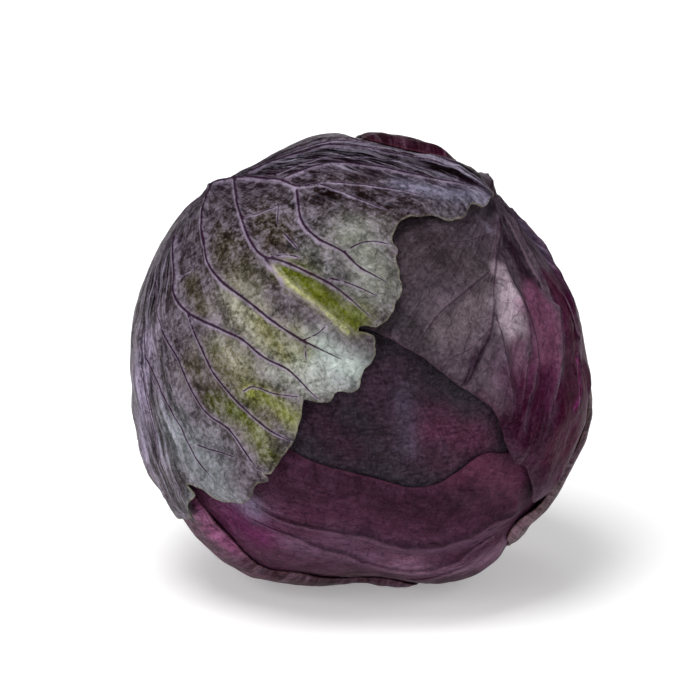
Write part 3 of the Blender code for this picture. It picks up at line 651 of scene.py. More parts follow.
def build_stalk():
    """The cut stem: a short ribbed post, rough where it was cut."""
    foot = STALK_SEAT + 0.4
    end = foot + STALK_LENGTH
    sides = STALK_SIDES * 7
    steps = np.linspace(0.0, 1.0, 13)
    # Shares of the stalk's radius, and heights: its foot, its waisted side, its edge and its low domed end
    profile = [(0.3, foot), (0.96, foot)]
    profile += [(1.0 - 0.05 * math.sin(math.pi * up), foot + 0.5 + (STALK_LENGTH - 2.0) * up) for up in steps]
    profile += [(0.985, end - 0.7), (0.95, end - 0.1), (0.9, end + 0.1)]
    profile += [(0.9 * (1.0 - inward), end + 0.1 + 0.5 * inward) for inward in steps[1:-1]]
    turn = 2 * math.pi * np.arange(sides) / sides
    ribbed = 1.0 + 0.03 * np.sin(2 * turn + 0.6) + 0.025 * np.sin(5 * turn)
    vertices = []
    shares = []
    for share, height in profile:
        ring = STALK_RADIUS * share * ribbed[:, None] * (
            np.cos(turn)[:, None] * STALK_SIDE + np.sin(turn)[:, None] * STALK_UP
        )
        ring = ring + height * STALK_AXIS
        rough = roughness(ring, CUT_BUMPS)
        vertices.append(ring + rough[:, None] * (STALK_AXIS if share < 0.95 else unit(ring)))
        shares.append(np.full(sides, share if height >= end - 0.8 else 1.2))
    vertices += [[foot * STALK_AXIS], [(end + 0.6) * STALK_AXIS]]
    shares += [[1.2], [0.0]]
    vertices = np.vstack(vertices)
    ring = np.arange(sides)
    following = np.roll(ring, -1)
    faces = []
    for level in range(len(profile) - 1):
        a, b = level * sides + ring, level * sides + following
        faces += [np.stack((a, b + sides, b), axis=1), np.stack((a, a + sides, b + sides), axis=1)]
    last = (len(profile) - 1) * sides
    tip = np.full(sides, len(vertices) - 1)
    faces.append(np.stack((tip - 1, ring, following), axis=1))
    faces.append(np.stack((tip, last + following, last + ring), axis=1))
    told = {"from_middle": np.concatenate(shares).astype(float)}
    add_piece("stalk", vertices, np.vstack(faces), told, stalk_material())


class Nodes:
    """Short ways to wire up one material."""

    def __init__(self, name):
        self.material = bpy.data.materials.new(name)
        self.material.use_nodes = True
        self.tree = self.material.node_tree
        self.shader = self.tree.nodes["Principled BSDF"]

    def add(self, kind, inputs, output=0, **settings):
        """A node with its settings and its inputs, each a value or another node's output. Gives an output."""
        node = self.tree.nodes.new(kind)
        for key, value in settings.items():
            setattr(node, key, value)
        for key, value in inputs.items():
            self.put(node.inputs[key], value)
        return node.outputs[output]

    def put(self, socket, value):
        if isinstance(value, bpy.types.NodeSocket):
            self.tree.links.new(value, socket)
        else:
            socket.default_value = value

    def attribute(self, name, output):
        return self.add("ShaderNodeAttribute", {}, output=output, attribute_name=name)

    def math(self, operation, a, b=0.0):
        return self.add("ShaderNodeMath", {0: a, 1: b}, operation=operation)

    def times(self, a, b):
        return self.math("MULTIPLY", a, b)

    def blend(self, how, share, a, b):
        return self.add("ShaderNodeMix", {0: share, 6: a, 7: b}, output=2, data_type="RGBA", blend_type=how)

    def laid_over(self, colour, paint, share):
        """The colour with this share of another over it."""
        return self.blend("MIX", share, colour, (*srgb_to_light(paint), 1.0))

    def lit_by(self, colour, light):
        """The colour times a grey amount of light."""
        return self.blend("MULTIPLY", 1.0, colour, self.grey(light))

    def place_in_mm(self):
        at = self.add("ShaderNodeTexCoord", {}, output="Object")
        return self.add("ShaderNodeVectorMath", {0: at, "Scale": 1.0 / MM}, operation="SCALE")

    def noise(self, vector, size, detail=4.0, roughness=0.55):
        """Noise with bumps about size units across."""
        inputs = {"Vector": vector, "Scale": 1.0 / size, "Detail": detail, "Roughness": roughness}
        return self.add("ShaderNodeTexNoise", inputs, output="Fac")

    def span(self, value, low, high, to_low=0.0, to_high=1.0):
        """Moves a value from one range to another and stops it at the ends."""
        inputs = {"Value": value, "From Min": low, "From Max": high, "To Min": to_low, "To Max": to_high}
        return self.add("ShaderNodeMapRange", inputs)

    def stretched(self, grain, share):
        """Grain coordinates drawn out along the veins where the share is below 1."""
        return self.add("ShaderNodeVectorMath", {0: grain, 1: (1.0, 1.0, share)}, operation="MULTIPLY")

    def grey(self, value):
        return self.add("ShaderNodeCombineColor", {0: value, 1: value, 2: value})

    def ramp(self, value, stops):
        """Colours at places from 0 to 1."""
        node = self.tree.nodes.new("ShaderNodeValToRGB")
        self.tree.links.new(value, node.inputs[0])
        points = node.color_ramp.elements
        while len(points) < len(stops):
            points.new(0.5)
        for point, (place, colour) in zip(points, stops):
            point.position = place
            point.color = (*srgb_to_light(colour), 1.0)
        return node.outputs[0]

    def bump(self, height, distance, normal=None):
        inputs = {"Height": height, "Distance": distance, "Strength": 1.0}
        if normal is not None:
            inputs["Normal"] = normal
        return self.add("ShaderNodeBump", inputs)


# How each leaf is finished: its veins' colour, the colour of the painted highlight on one side of each vein,
# how strong the veins and those highlights are, the colours of its free margin and of its waxy bloom, how
# much bloom there is, how speckled it is, and how strong the painted highlight along its creases is
FINISH = {
    "wrapper_leaf": (
        (46, 17, 44), (168, 152, 176), 0.94, 0.95,
        (166, 162, 134), (172, 164, 186), 0.45, 1.1, 0.4,
    ),
    "upper_right_leaf": (
        (36, 16, 32), (120, 98, 116), 0.55, 0.3,
        (92, 62, 76), (156, 144, 164), 0.25, 0.32, 0.75,
    ),
    "lower_leaf": (
        (44, 16, 36), (118, 88, 108), 0.3, 0.25,
        (90, 54, 70), (140, 116, 140), 0.25, 0.25, 0.5,
    ),
    "lower_left_leaf": (
        (46, 20, 38), (126, 98, 114), 0.4, 0.25,
        (104, 72, 78), (146, 128, 148), 0.3, 0.4, 0.4,
    ),
    "right_back_leaf": (
        (50, 28, 40), (132, 108, 118), 0.4, 0.25,
        (122, 98, 92), (150, 134, 148), 0.3, 0.45, 0.4,
    ),
    "top_back_leaf": (
        (44, 18, 32), (120, 88, 106), 0.4, 0.25,
        (96, 56, 62), (140, 118, 138), 0.3, 0.4, 0.4,
    ),
    "inner_head": (
        (22, 12, 22), (72, 58, 72), 0.28, 0.25,
        (60, 44, 54), (104, 96, 114), 0.25, 0.45, 0.4,
    ),
}


def leaf_material(name):
    """Leaf skin: painted tone with painted sheen in places, mottling, bloom and painted sheen streaking along
    the veins, a fine net of veinlets, a waxy bloom, and painted highlights and shade at veins and creases.
    """
    vein_colour, flank_highlight_colour, vein_share, flank_highlight_share, *others = FINISH[name]
    rim_colour, bloom_colour, bloom_share, speckles, crease_highlight_share = others
    use = Nodes(name)
    at = use.place_in_mm()
    grain = use.attribute("grain", "Vector")
    off_crest = use.attribute("vein", "Fac")
    off_fold = use.attribute("fold", "Fac")
    off_rim = use.attribute("rim", "Fac")
    colour = use.attribute("tone", "Color")

    # Mottling, broad and fine
    broad = use.span(use.noise(at, 11.0, detail=3.0), 0.3, 0.7, 0.8, 1.22)
    fine = use.span(use.noise(at, 2.2, detail=5.0, roughness=0.65), 0.3, 0.7, 0.86, 1.16)
    colour = use.lit_by(colour, use.times(broad, fine))

    # Waxy bloom: speckles all over, and streaks along the veins where the leaf is streaky
    streaky = use.attribute("streaky", "Fac")
    streak = use.noise(use.stretched(grain, 0.45), 0.9, detail=5.0, roughness=0.6)
    patch = use.noise(use.stretched(grain, 3.0), 3.2, detail=4.0, roughness=0.6)
    speckle = use.noise(at, 1.4, detail=4.0, roughness=0.7)
    blotch = use.noise(at, 5.0, detail=5.0, roughness=0.65)
    mixed = use.math("ADD", use.times(speckle, 0.6), use.times(blotch, 0.4))
    where_speckly = use.attribute("speckly", "Fac")
    speckly = use.times(where_speckly, speckles)
    speckled = use.times(use.span(mixed, 0.4, 0.62, -0.6, 1.2), speckly)
    patched = use.times(use.span(patch, 0.38, 0.62, -0.4, 0.55), speckly)
    speckled = use.math("MAXIMUM", use.math("ADD", use.math("ADD", speckled, patched), 1.0), 0.2)
    streaked = use.times(use.span(streak, 0.4, 0.62, -0.6, 1.0), streaky)
    waxy = use.times(speckled, use.math("ADD", streaked, 1.0))
    colour = use.lit_by(colour, waxy)
    colour = use.laid_over(colour, bloom_colour, use.span(waxy, 1.0, 2.6, 0.0, bloom_share))

    # Long pale lines where the leaf is streaky: bloom and painted sheen along tiny ridges, with painted shade
    # in the hollows between them
    strand = use.noise(use.stretched(grain, 0.16), 2.1, detail=1.5, roughness=0.5)
    off_strand = use.math("ABSOLUTE", use.math("SUBTRACT", strand, 0.5))
    line = use.times(use.span(off_strand, 0.004, 0.028, 0.7, 0.0), use.span(blotch, 0.35, 0.6, 0.3, 1.0))
    line = use.times(line, streaky)
    hollow_shade = use.times(use.span(off_strand, 0.03, 0.09, 0.0, 0.45), streaky)
    colour = use.lit_by(colour, use.math("SUBTRACT", 1.0, hollow_shade))
    colour = use.laid_over(colour, bloom_colour, line)

    # A net of veinlets between the veins
    warp = use.add("ShaderNodeTexNoise", {"Vector": at, "Scale": 0.22, "Detail": 2.0}, output="Color")
    warped = use.add("ShaderNodeVectorMath", {0: warp, 1: (5.0, 5.0, 5.0), 2: at}, operation="MULTIPLY_ADD")
    nets = []
    for size in (5.2, 2.3):
        cells = {"Vector": warped, "Scale": 1.0 / size}
        edge = use.add("ShaderNodeTexVoronoi", cells, output="Distance", feature="DISTANCE_TO_EDGE")
        nets.append(use.span(edge, 0.0, 0.09))
    coarse_net, fine_net = nets
    net = use.times(use.span(coarse_net, 0.0, 1.0, 0.78, 1.0), use.span(fine_net, 0.0, 1.0, 0.9, 1.0))
    colour = use.lit_by(colour, net)

    # Veins with a painted highlight on one side, creases with painted highlight and shade, the free margin
    uneven = use.span(use.noise(at, 3.0, detail=3.0), 0.3, 0.7, 0.7, 1.3)
    off_crest = use.times(off_crest, uneven)
    right = use.span(use.attribute("right", "Fac"), 0.0, 1.0, 0.25, 1.0)
    patchy = use.times(use.span(blotch, 0.35, 0.6, 0.45, 1.0), flank_highlight_share)
    patchy = use.times(patchy, use.span(where_speckly, 0.3, 0.8, 0.35, 1.0))
    # A painted highlight on the right side of each vein
    flank_highlight = use.times(use.span(off_crest, 1.0, 2.3, 1.0, 0.0), use.times(right, patchy))
    colour = use.laid_over(colour, flank_highlight_colour, flank_highlight)
    crest = use.times(use.span(off_crest, 0.35, 0.8, 1.0, 0.0), vein_share)
    colour = use.laid_over(colour, vein_colour, use.times(crest, use.attribute("veined", "Fac")))
    # A painted highlight along each crease's line, and painted shade on its steep side
    crease = use.times(use.span(use.math("ABSOLUTE", off_fold), 0.15, 0.6, crease_highlight_share, 0.0), uneven)
    colour = use.laid_over(colour, flank_highlight_colour, crease)
    shade = use.times(use.span(off_fold, -2.6, -0.8, 0.0, 0.45), use.span(off_fold, -0.6, -0.3, 1.0, 0.0))
    colour = use.lit_by(colour, use.math("SUBTRACT", 1.0, shade))
    rim = use.times(use.span(off_rim, 0.15, 0.8, 0.5, 0.0), use.span(blotch, 0.4, 0.6, 0.25, 1.0))
    colour = use.laid_over(colour, rim_colour, rim)
    use.put(use.shader.inputs["Base Color"], colour)

    # Gloss and the fine relief
    sheen = use.noise(at, 9.0, detail=4.0, roughness=0.6)
    use.put(use.shader.inputs["Roughness"], use.span(sheen, 0.35, 0.65, 0.28, 0.42))
    use.shader.inputs["Specular IOR Level"].default_value = 0.02
    normal = use.bump(use.math("ADD", use.times(coarse_net, 0.6), use.times(fine_net, 0.3)), 0.4 * MM)
    for height, distance in ((speckle, 0.9), (streak, 1.2), (line, 0.6)):
        normal = use.bump(height, distance * MM, normal)
    use.put(use.shader.inputs["Normal"], normal)
    return use.material


def stalk_material():
    """Cut stem: pale pith, a ring of darker strands and a green rind tinged with purple."""
    use = Nodes("stalk")
    at = use.place_in_mm()
    rough = use.noise(at, 2.5, detail=5.0, roughness=0.6)
    from_middle = use.math("ADD", use.attribute("from_middle", "Fac"), use.span(rough, 0.3, 0.7, -0.05, 0.05))
    stops = (
        (0.0, (206, 204, 166)),
        (0.45, (196, 192, 146)),
        (0.6, (150, 146, 104)),
        (0.68, (186, 182, 134)),
        (0.78, (142, 128, 104)),
        (0.84, (138, 142, 104)),
        (1.0, (124, 118, 108)),
    )
    colour = use.ramp(use.math("DIVIDE", from_middle, 1.2), stops)
    stain = use.span(use.noise(at, 6.0, detail=4.0), 0.5, 0.7, 0.0, 0.5)
    colour = use.laid_over(colour, (116, 84, 92), stain)
    dots = use.add("ShaderNodeTexVoronoi", {"Vector": at, "Scale": 0.9}, output="Distance")
    colour = use.lit_by(colour, use.span(dots, 0.0, 0.35, 0.72, 1.0))
    use.put(use.shader.inputs["Base Color"], colour)
    use.put(use.shader.inputs["Roughness"], use.span(rough, 0.3, 0.7, 0.5, 0.75))
    use.put(use.shader.inputs["Normal"], use.bump(rough, 0.8 * MM))
    return use.material


def floor_material():
    use = Nodes("floor")
    object_at = use.add("ShaderNodeTexCoord", {}, output="Object")
    shade = use.span(use.noise(object_at, 0.3, detail=3.0), 0.3, 0.7, 0.9, 0.93)
    use.put(use.shader.inputs["Base Color"], use.grey(shade))
    use.shader.inputs["Roughness"].default_value = 0.9
    use.shader.inputs["Emission Color"].default_value = (1.0, 1.0, 1.0, 1.0)
    use.shader.inputs["Emission Strength"].default_value = 0.3
    return use.material


def build_floor():
    """A wide pale floor that curves up far behind the head."""
    rows = [(-2.5, 0.0), (3.4, 0.0), (4.0, 0.06), (4.4, 0.25), (4.6, 0.6)]
    vertices = [(side * 5.0, y, z) for y, z in rows for side in (-1, 1)]
    faces = [(2 * i, 2 * i + 1, 2 * i + 3, 2 * i + 2) for i in range(len(rows) - 1)]
    mesh = bpy.data.meshes.new("floor")
    mesh.from_pydata(vertices, [], faces)
    mesh.polygons.foreach_set("use_smooth", [True] * len(faces))
    mesh.materials.append(floor_material())
    floor = bpy.data.objects.new("floor", mesh)
    bpy.context.scene.collection.objects.link(floor)


def add_camera():
    """The photograph's view: from the front, a little above the head."""
    camera = bpy.data.cameras.new("camera")
    camera.sensor_width = 36.0
    camera.lens = CAMERA_LENS
    middle = Vector(MIDDLE) + Vector(CAMERA_SIDE * ACROSS + CAMERA_RISE * UPWARD)
    holder = bpy.data.objects.new("camera", camera)
    holder.location = (middle + Vector(FACING) * CAMERA_AWAY) * MM
    holder.rotation_euler = (math.pi / 2 - VIEW_TILT, 0.0, 0.0)
    bpy.context.scene.collection.objects.link(holder)
    bpy.context.scene.camera = holder


def add_light(name, place, power, size, aim=Vector(MIDDLE) * MM, spread=math.pi):
    """A square soft light of this many watts and metres a side, aimed at the head unless told otherwise."""
    light = bpy.data.lights.new(name, "AREA")
    light.energy = power
    light.size = size
    light.spread = spread
    holder = bpy.data.objects.new(name, light)
    holder.location = place
    holder.rotation_euler = (Vector(aim) - Vector(place)).to_track_quat("-Z", "Y").to_euler()
    bpy.context.scene.collection.objects.link(holder)


def add_lights():
    world = bpy.data.worlds.new("world")
    world.use_nodes = True
    background = world.node_tree.nodes["Background"]
    background.inputs["Color"].default_value = (1.0, 1.0, 1.0, 1.0)
    background.inputs["Strength"].default_value = 0.18
    bpy.context.scene.world = world
    add_light("above", (-0.35, -0.35, 1.5), 17.0, 0.8)
    # Only lights the floor behind the head
    add_light("floor_light", (0.0, 2.6, 3.0), 45.0, 1.4, aim=(0.0, 2.6, 0.0), spread=math.radians(80))
    add_light("front_left", (-1.1, -1.1, 0.9), 9.0, 1.0)
    add_light("right", (1.2, -0.6, 0.8), 5.0, 1.0)


def lower_leaf():
    outline = [
        *front((-26.9, -31.1), (-14.7, -36.4), (-4.2, -39.5)),
        *front((11.5, -43.7), (17.5, -45.1), (23.8, -44.4)),
        *front((34.3, -38.8), (43, -32.9), (51, -32.9), (60, -29.5), (69.2, -22), (78, -10)),
        *back((72, 0), (45, 6), (22, 13)),
        *round_stalk(STALK_HOLE, -12, -38, -64, -90, -116, -142),
        *back((-40, -5), (-62, -20), (-74, -30)),
        *front((-74.1, -35.3), (-68.9, -38.1), (-56.6, -34.6), (-46.2, -29.4), (-35, -27.6)),
    ]
    pleats = [
        Vein(round_stalk(19.0, -82) + back((2, -20), (22, -52), (45, -62)), (6, 3), (3.5, 1.5)),
        Vein(
            front(
                (58.7, -50.3), (51.7, -52.8), (37.8, -60.1), (23.8, -65), (4.5, -62.9),
                (-11.2, -58.4), (-36.4, -50.3),
            ),
            (5, 3), (1.6, 0.8),
        ),
        Vein(
            front((48.3, -62.6), (41.3, -66.8), (23.8, -72.4), (-4.2, -69.6), (-25.2, -60.8)),
            (4, 3), (1.4, 0.8),
        ),
    ]
    return Leaf("lower_leaf", outline, pleats, 0.9, 9)


def upper_right_leaf():
    outline = [
        *front((4.5, 10.8), (13.3, 5.6), (18.5, 3.1), (27.3, -3.1)),
        *front((35.3, -9.4), (43.7, -14.7), (48.3, -23.1)),
        *front((49.3, -27.6), (52.4, -35), (57.3, -37.1), (58.7, -43.4)),
        *front((58.4, -47.9), (62.2, -47.6), (65, -47.9)),
        *back((66, -40), (52, -22), (32, -4), (18, 8)),
        *round_stalk(STALK_HOLE, -20, 5, 30, 55, 80, 100),
        *back((-12, 52), (-18, 72)),
        *front((-11.2, 78), (-8, 70.3), (-7.7, 56.3), (-7.5, 38.8), (-6.5, 21.3), (-3.7, 13.6)),
    ]
    veins = [
        Vein(
            round_stalk(19.0, 47) + back((14, 44), (35, 62)) + front(
                (45.5, 59.8), (47.9, 47.6),
                (46.5, 34.6), (45.5, 21.3),
            ),
            (5, 3.4), (3.5, 1.8),
        ),
        Vein(front((45.5, 21.3), (44.1, 9.1), (40.6, 2.8), (35.7, -9.1)), (3.4, 2.4), (1.8, 1)),
        Vein(front((43.7, 31.1), (34.3, 23.4), (26.6, 16.8), (19.2, 6.6)), (2.8, 2.3), (1.3, 0.8)),
        Vein(
            front((47.2, 40.6), (52.4, 28.3), (58.7, 14.3), (61.5, 0), (58.7, -13.6), (55.2, -27.6)),
            (4, 3), (1.7, 0.9),
        ),
        Vein(
            front(
                (48.5, 56.3), (54.5, 45.1), (62, 31), (67, 19.4), (69.2, 5.1), (67.2, -10.1),
                (62.9, -26.1),
            ),
            (4, 3), (2.1, 1),
        ),
        Vein(
            front((53, 54), (64.2, 39.8), (72, 25.8), (75.8, 10.8), (76, -5.1), (71, -27.6)),
            (4, 3), (1.9, 0.9),
        ),
        Vein(front((46.5, 16.3), (51, -3.1), (52, -18.6)), (3.2, 2.4), (1.3, 0.8)),
    ]
    return Leaf("upper_right_leaf", outline, veins, 1.6, 11)


def lower_left_leaf():
    outline = [
        *front((-56.6, -51.4), (-49, -59.1), (-40.9, -68.5), (-33.9, -73.4)),
        *front((-21.7, -75.2), (-4.2, -76.9), (11.5, -78)),
        *back((24, -77), (29, -66), (26, -50), (14, -28), (2, -4)),
        *round_stalk(STALK_HOLE, -84, -108, -132, -156, -178),
        *back((-46, 8), (-66, -4), (-78, -16)),
        *front((-78.4, -24.6), (-70.6, -32.9), (-64.3, -41.6), (-60.1, -46.9)),
    ]
    veins = [
        Vein(round_stalk(19.0, -132) + back((-32, -6), (-52, -36), (-62, -52)), (7, 3), (4, 1.5)),
        Vein(back((-38, -16), (-38, -42), (-36, -66)), (4, 2.5), (1.6, 0.8)),
        Vein(back((-30, -6), (-18, -30), (-16, -52)), (4, 2.5), (1.6, 0.8)),
        Vein(back((-50, -33), (-66, -24)), (3, 2.5), (1.2, 0.8)),
    ]
    return Leaf("lower_left_leaf", outline, veins, 1.2, 9)


def wrapper_leaf():
    outline = [
        *front((43.6, 59.4), (43.4, 54), (42.2, 52.9), (37.4, 53.8)),
        *front((35.3, 50.7), (30.1, 49.7), (23.8, 50.3)),
        *front((20.3, 49.3), (15, 48.6), (10.8, 45.5), (9.4, 42)),
        *front((11.5, 38.1), (10.8, 35.7), (12.9, 30.1)),
        *front((13.3, 26.6), (11.9, 21.3), (8.7, 15.4), (4.5, 12.2)),
        *front((-1.4, 11.5), (-2.1, 10.1), (3.5, 9.1)),
        *front((4.2, 1.4), (0, -3.8), (-2.8, -10.1), (-8.4, -10.5)),
        *front((-11.9, -14.3), (-20.3, -12.6), (-21, -18.2)),
        *front((-23.8, -26.6), (-27.6, -32.9), (-31.1, -37.1)),
        *front((-33.9, -37.4), (-31.9, -40.2), (-35, -41.2)),
        *front((-38.1, -46.5), (-43.4, -48.6), (-48.3, -49.3)),
        *front((-54.2, -44.1), (-59.6, -41.6), (-56.6, -45.1)),
        *front((-58, -47.4), (-57, -52.4), (-60.1, -54.2)),
        *front((-64.3, -50.3), (-68.9, -47.6), (-71.3, -41.6)),
        *back((-77, -26), (-66, -8), (-48, 8)),
        *round_stalk(STALK_HOLE, 184, 162, 140, 118, 98),
        *back((-10, 58), (0, 73)),
        *front((13.3, 76.9), (30.8, 69.8), (37, 66.9), (43.8, 61.8)),
    ]
    veins = [
        Vein(round_stalk(19.0, 143) + back((-32, 36), (-50, 58)) + front((-54, 62.4)), (8, 5), (4.5, 2.2)),
        Vein(
            front((-53.6, 62.2), (-44.4, 63.6), (-35, 64), (-28.7, 63.3), (-22.4, 60.8), (-14.7, 61.2)),
            (4.8, 3), (2.2, 1.4),
        ),
        Vein(
            front(
                (-52.4, 61.9), (-55.6, 54.5), (-55.2, 40.6), (-53.8, 34.6), (-49, 28), (-40.2, 21.3),
                (-31.5, 14.3), (-21.7, 8), (-7.7, 1),
            ),
            (3.2, 2.4), (1.9, 1.1),
        ),
        Vein(
            front(
                (-44.4, 63.3), (-42.7, 52.1), (-39.2, 42.3), (-34.6, 36.7), (-28, 35), (-19.2, 31.1),
                (-10.1, 25.9), (2.8, 15),
            ),
            (3, 2.4), (1.7, 1),
        ),
        Vein(front((-34.6, 36.7), (-25.2, 25.5), (-15.4, 19.2), (-5.9, 9.8)), (2.8, 2.3), (1.4, 0.9)),
        Vein(
            front((-22.7, 59.1), (-21, 48.6), (-15.4, 42.3), (-6.6, 37.4), (-1.4, 32.5), (8, 27.3)),
            (3, 2.4), (1.7, 0.9),
        ),
        Vein(
            front(
                (-65.4, 43.4), (-65.7, 31.8), (-65.4, 23.1), (-61.2, 17.5), (-49, 11.2),
                (-41.6, 7.7), (-33.9, 1.4), (-25.2, -3.1), (-15.4, -12.6),
            ),
            (3.2, 2.4), (1.8, 1),
        ),
        Vein(
            front((-61.2, 17.5), (-55.6, 3.8), (-49.7, -6.6), (-40.9, -16.4), (-24.5, -27.6)),
            (2.8, 2.3), (1.5, 0.9),
        ),
        Vein(
            front((-69.6, 10.8), (-64.3, 0.3), (-54.2, -17.8), (-46.2, -23.4), (-35, -36.4)),
            (2.8, 2.3), (1.5, 0.9),
        ),
        Vein(
            front((-75.9, 2.1), (-70.6, -9.4), (-64.7, -20.6), (-59.4, -29.4), (-51.4, -40.4)),
            (2.8, 2.3), (1.5, 0.9),
        ),
        Vein(
            front((-39.2, 66.1), (-18.2, 73.5), (-5.9, 74.2), (13.3, 71.4), (30.8, 67)),
            (3.2, 2.4), (1.7, 0.9),
        ),
        Vein(
            front((-26.9, 64.3), (-11.2, 67.9), (2.8, 67.2), (23.8, 62.7), (42, 58)),
            (3.2, 2.4), (1.7, 0.9),
        ),
        Vein(back((-34, 38), (-52, 30), (-70, 28)), (4, 2.5), (1.6, 0.9)),
        Vein(back((-42, 50), (-60, 46), (-70, 38)), (3.5, 2.5), (1.4, 0.9)),
    ]
    return Leaf("wrapper_leaf", outline, veins, 2.4, 13)


def right_back_leaf():
    outline = [
        *front((79.6, -15), (78.4, -20.5), (75.6, -28.5), (71, -37), (65.4, -45.7), (61, -51.1)),
        *front((56.5, -55), (53.3, -58.9), (51.6, -62.2), (52.2, -64.4)),
        *back((48, -63), (36, -49), (22, -26), (10, -6)),
        *round_stalk(STALK_HOLE, -68, -46, -24, -2, 20, 36),
        *back((16, 34), (44, 42), (66, 30), (76, 14), (80, -2)),
    ]
    veins = [
        Vein(round_stalk(19.0, -16) + back((26, 10), (50, -4), (68, -28)), (7.5, 3), (4.2, 1.4)),
        Vein(back((22, 12), (44, 24), (64, 22)), (4, 2.5), (1.6, 0.8)),
        Vein(back((38, 4), (58, 8), (72, 4)), (3.5, 2.5), (1.4, 0.8)),
        Vein(back((26, 6), (36, -18), (44, -42)), (4, 2.5), (1.6, 0.8)),
        Vein(back((44, 0), (54, -22), (56, -44)), (3.5, 2.5), (1.4, 0.8)),
    ]
    return Leaf("right_back_leaf", outline, veins, 0.7, 9)


def top_back_leaf():
    outline = [
        *front((31.2, 70.4), (27.3, 71.3), (20.3, 72.9), (13.3, 74.4), (6.3, 76.2), (1, 77.8)),
        *back((-6, 74), (-16, 69), (-27, 60), (-27, 44)),
        *round_stalk(STALK_HOLE, 122, 104, 84, 62),
        *back((8, 42), (26, 50), (34, 62), (33, 69.5)),
    ]
    veins = [
        Vein(round_stalk(19.0, 92) + back((-10, 48), (2, 66), (12, 74.5)), (7, 3), (4, 1.3)),
        Vein(back((-10, 48), (-18, 58), (-16, 70)), (3.5, 2.5), (1.5, 0.8)),
        Vein(back((-6, 54), (14, 58), (27, 64)), (3.5, 2.5), (1.5, 0.8)),
    ]
    return Leaf("top_back_leaf", outline, veins, 0.7, 7)


# The spot each leaf's finest veins and streaks spread from
GRAIN_FROM = {
    "wrapper_leaf": front((-54, 62))[0],
    "upper_right_leaf": front((46, 60))[0],
    "lower_leaf": front((66, -42))[0],
    "lower_left_leaf": STALK_AXIS,
    "right_back_leaf": STALK_AXIS,
    "top_back_leaf": STALK_AXIS,
}

# Veins too thin for the part's own solids: points, half widths and heights
FINE_VEINS = {
    "wrapper_leaf": (
        (front((-32.6, 36.4), (-27, 37.4), (-21.7, 36.2)), (1.6, 1.2), (0.7, 0.4)),
        (front((-6.4, 37.6), (-2.9, 39.8), (2.8, 40.6), (9, 39.6)), (1.6, 1.2), (0.7, 0.4)),
        (front((-29.6, 54.8), (-30, 48.2)), (1.4, 1.1), (0.6, 0.4)),
        (front((-41.2, 50.7), (-33.9, 53.7), (-28.8, 55.2)), (1.5, 1.1), (0.7, 0.4)),
        (front((-27.3, 44.6), (-22.5, 39.2)), (1.4, 1.1), (0.6, 0.4)),
        (front((-64.6, 29.6), (-59.8, 32.6)), (1.4, 1.1), (0.6, 0.4)),
        (front((-21.3, 7.3), (-15.9, 9.7), (-11.7, 13.3)), (1.4, 1.1), (0.6, 0.4)),
        (front((-20.1, 7.3), (-19.8, 0.7)), (1.4, 1.1), (0.6, 0.4)),
        (front((-11.2, 28.6), (-2.4, 26), (5.2, 22.2)), (1.6, 1.2), (0.8, 0.4)),
        (front((-57.7, -28.7), (-50, -31), (-43.7, -32.9)), (1.5, 1.1), (0.7, 0.4)),
        (front((-41.6, -10.1), (-38.4, -8.6), (-31, -11), (-22, -11.9)), (1.5, 1.1), (0.6, 0.4)),
        (front((-14.7, 61.2), (-4, 57), (8, 52)), (1.6, 1.2), (0.8, 0.4)),
        (front((-72.6, 28), (-72, 18), (-70, 10.4)), (1.6, 1.2), (0.8, 0.4)),
        (front((-76.5, 12), (-75.9, 2.1), (-74.6, -6), (-69.6, -12.4)), (1.6, 1.2), (0.8, 0.4)),
        (front((-77.2, -6), (-74.6, -20), (-69, -33)), (1.6, 1.2), (0.8, 0.4)),
        (front((-20, 61.4), (0, 61), (22, 56.5)), (1.6, 1.2), (0.8, 0.4)),
        (front((-30, 66.5), (-8, 71), (12, 69.6), (32, 63.5)), (1.6, 1.2), (0.8, 0.4)),
        (front((-48, 64.4), (-30, 72), (-10, 76), (12, 74)), (1.6, 1.2), (0.8, 0.4)),
    ),
    "upper_right_leaf": (
        (front((44.6, 12), (38, 5), (30, 1)), (1.5, 1.1), (0.6, 0.4)),
        (front((47.5, 46), (38, 43), (27, 42)), (1.6, 1.1), (0.6, 0.4)),
        (front((58.7, 4), (57, -8), (55, -18)), (1.5, 1.1), (0.6, 0.4)),
    ),
}

# Creases: points, height and the width of the gentle side, which is on the left on the way along
FOLDS = {
    "lower_leaf": (
        (
            front(
                (60, -50.5), (46.4, -55.4), (35.1, -61.4), (26.4, -64.6), (16.3, -65.1),
                (6.3, -62.8), (-11, -59.1), (-26.4, -55.8), (-44, -46),
            ),
            1.3,
            8.0,
        ),
        (
            front(
                (52, -57.5), (39.7, -64.8), (33, -70.1), (23, -72.6), (13, -73),
                (4.3, -71.6), (-11, -67.1), (-26.4, -60.5), (-44.5, -51.7),
            ),
            1.1,
            6.0,
        ),
        (front((42, -69), (30, -75), (14, -77)), 0.5, 4.0),
    ),
    "upper_right_leaf": (
        (front((58.6, 3), (58, 9.8), (56.2, 17.8), (52.2, 26.7), (47.7, 37.1)), 1.2, 8.0),
        (front((48.3, 54), (54.2, 43), (59, 33.3), (64.3, 23)), 1.3, 8.0),
        (front((65.9, -17), (67.6, -6.3), (69.2, 1.7), (69.7, 9.8), (68.6, 16.2), (61.7, 24.5)), 1.3, 9.0),
        (front((69, 26), (74, 15.1), (76.6, 5.5), (77.7, -2)), 0.8, 4.0),
        (front((73, -22), (75, -6.3), (75.6, 1.7)), 0.8, 4.0),
        (front((70, 33), (60, 45), (54, 51.5)), 0.8, 4.0),
    ),
    "lower_left_leaf": (
        (front((-58, -50), (-40, -66), (-22, -74)), 0.5, 5.0),
    ),
}
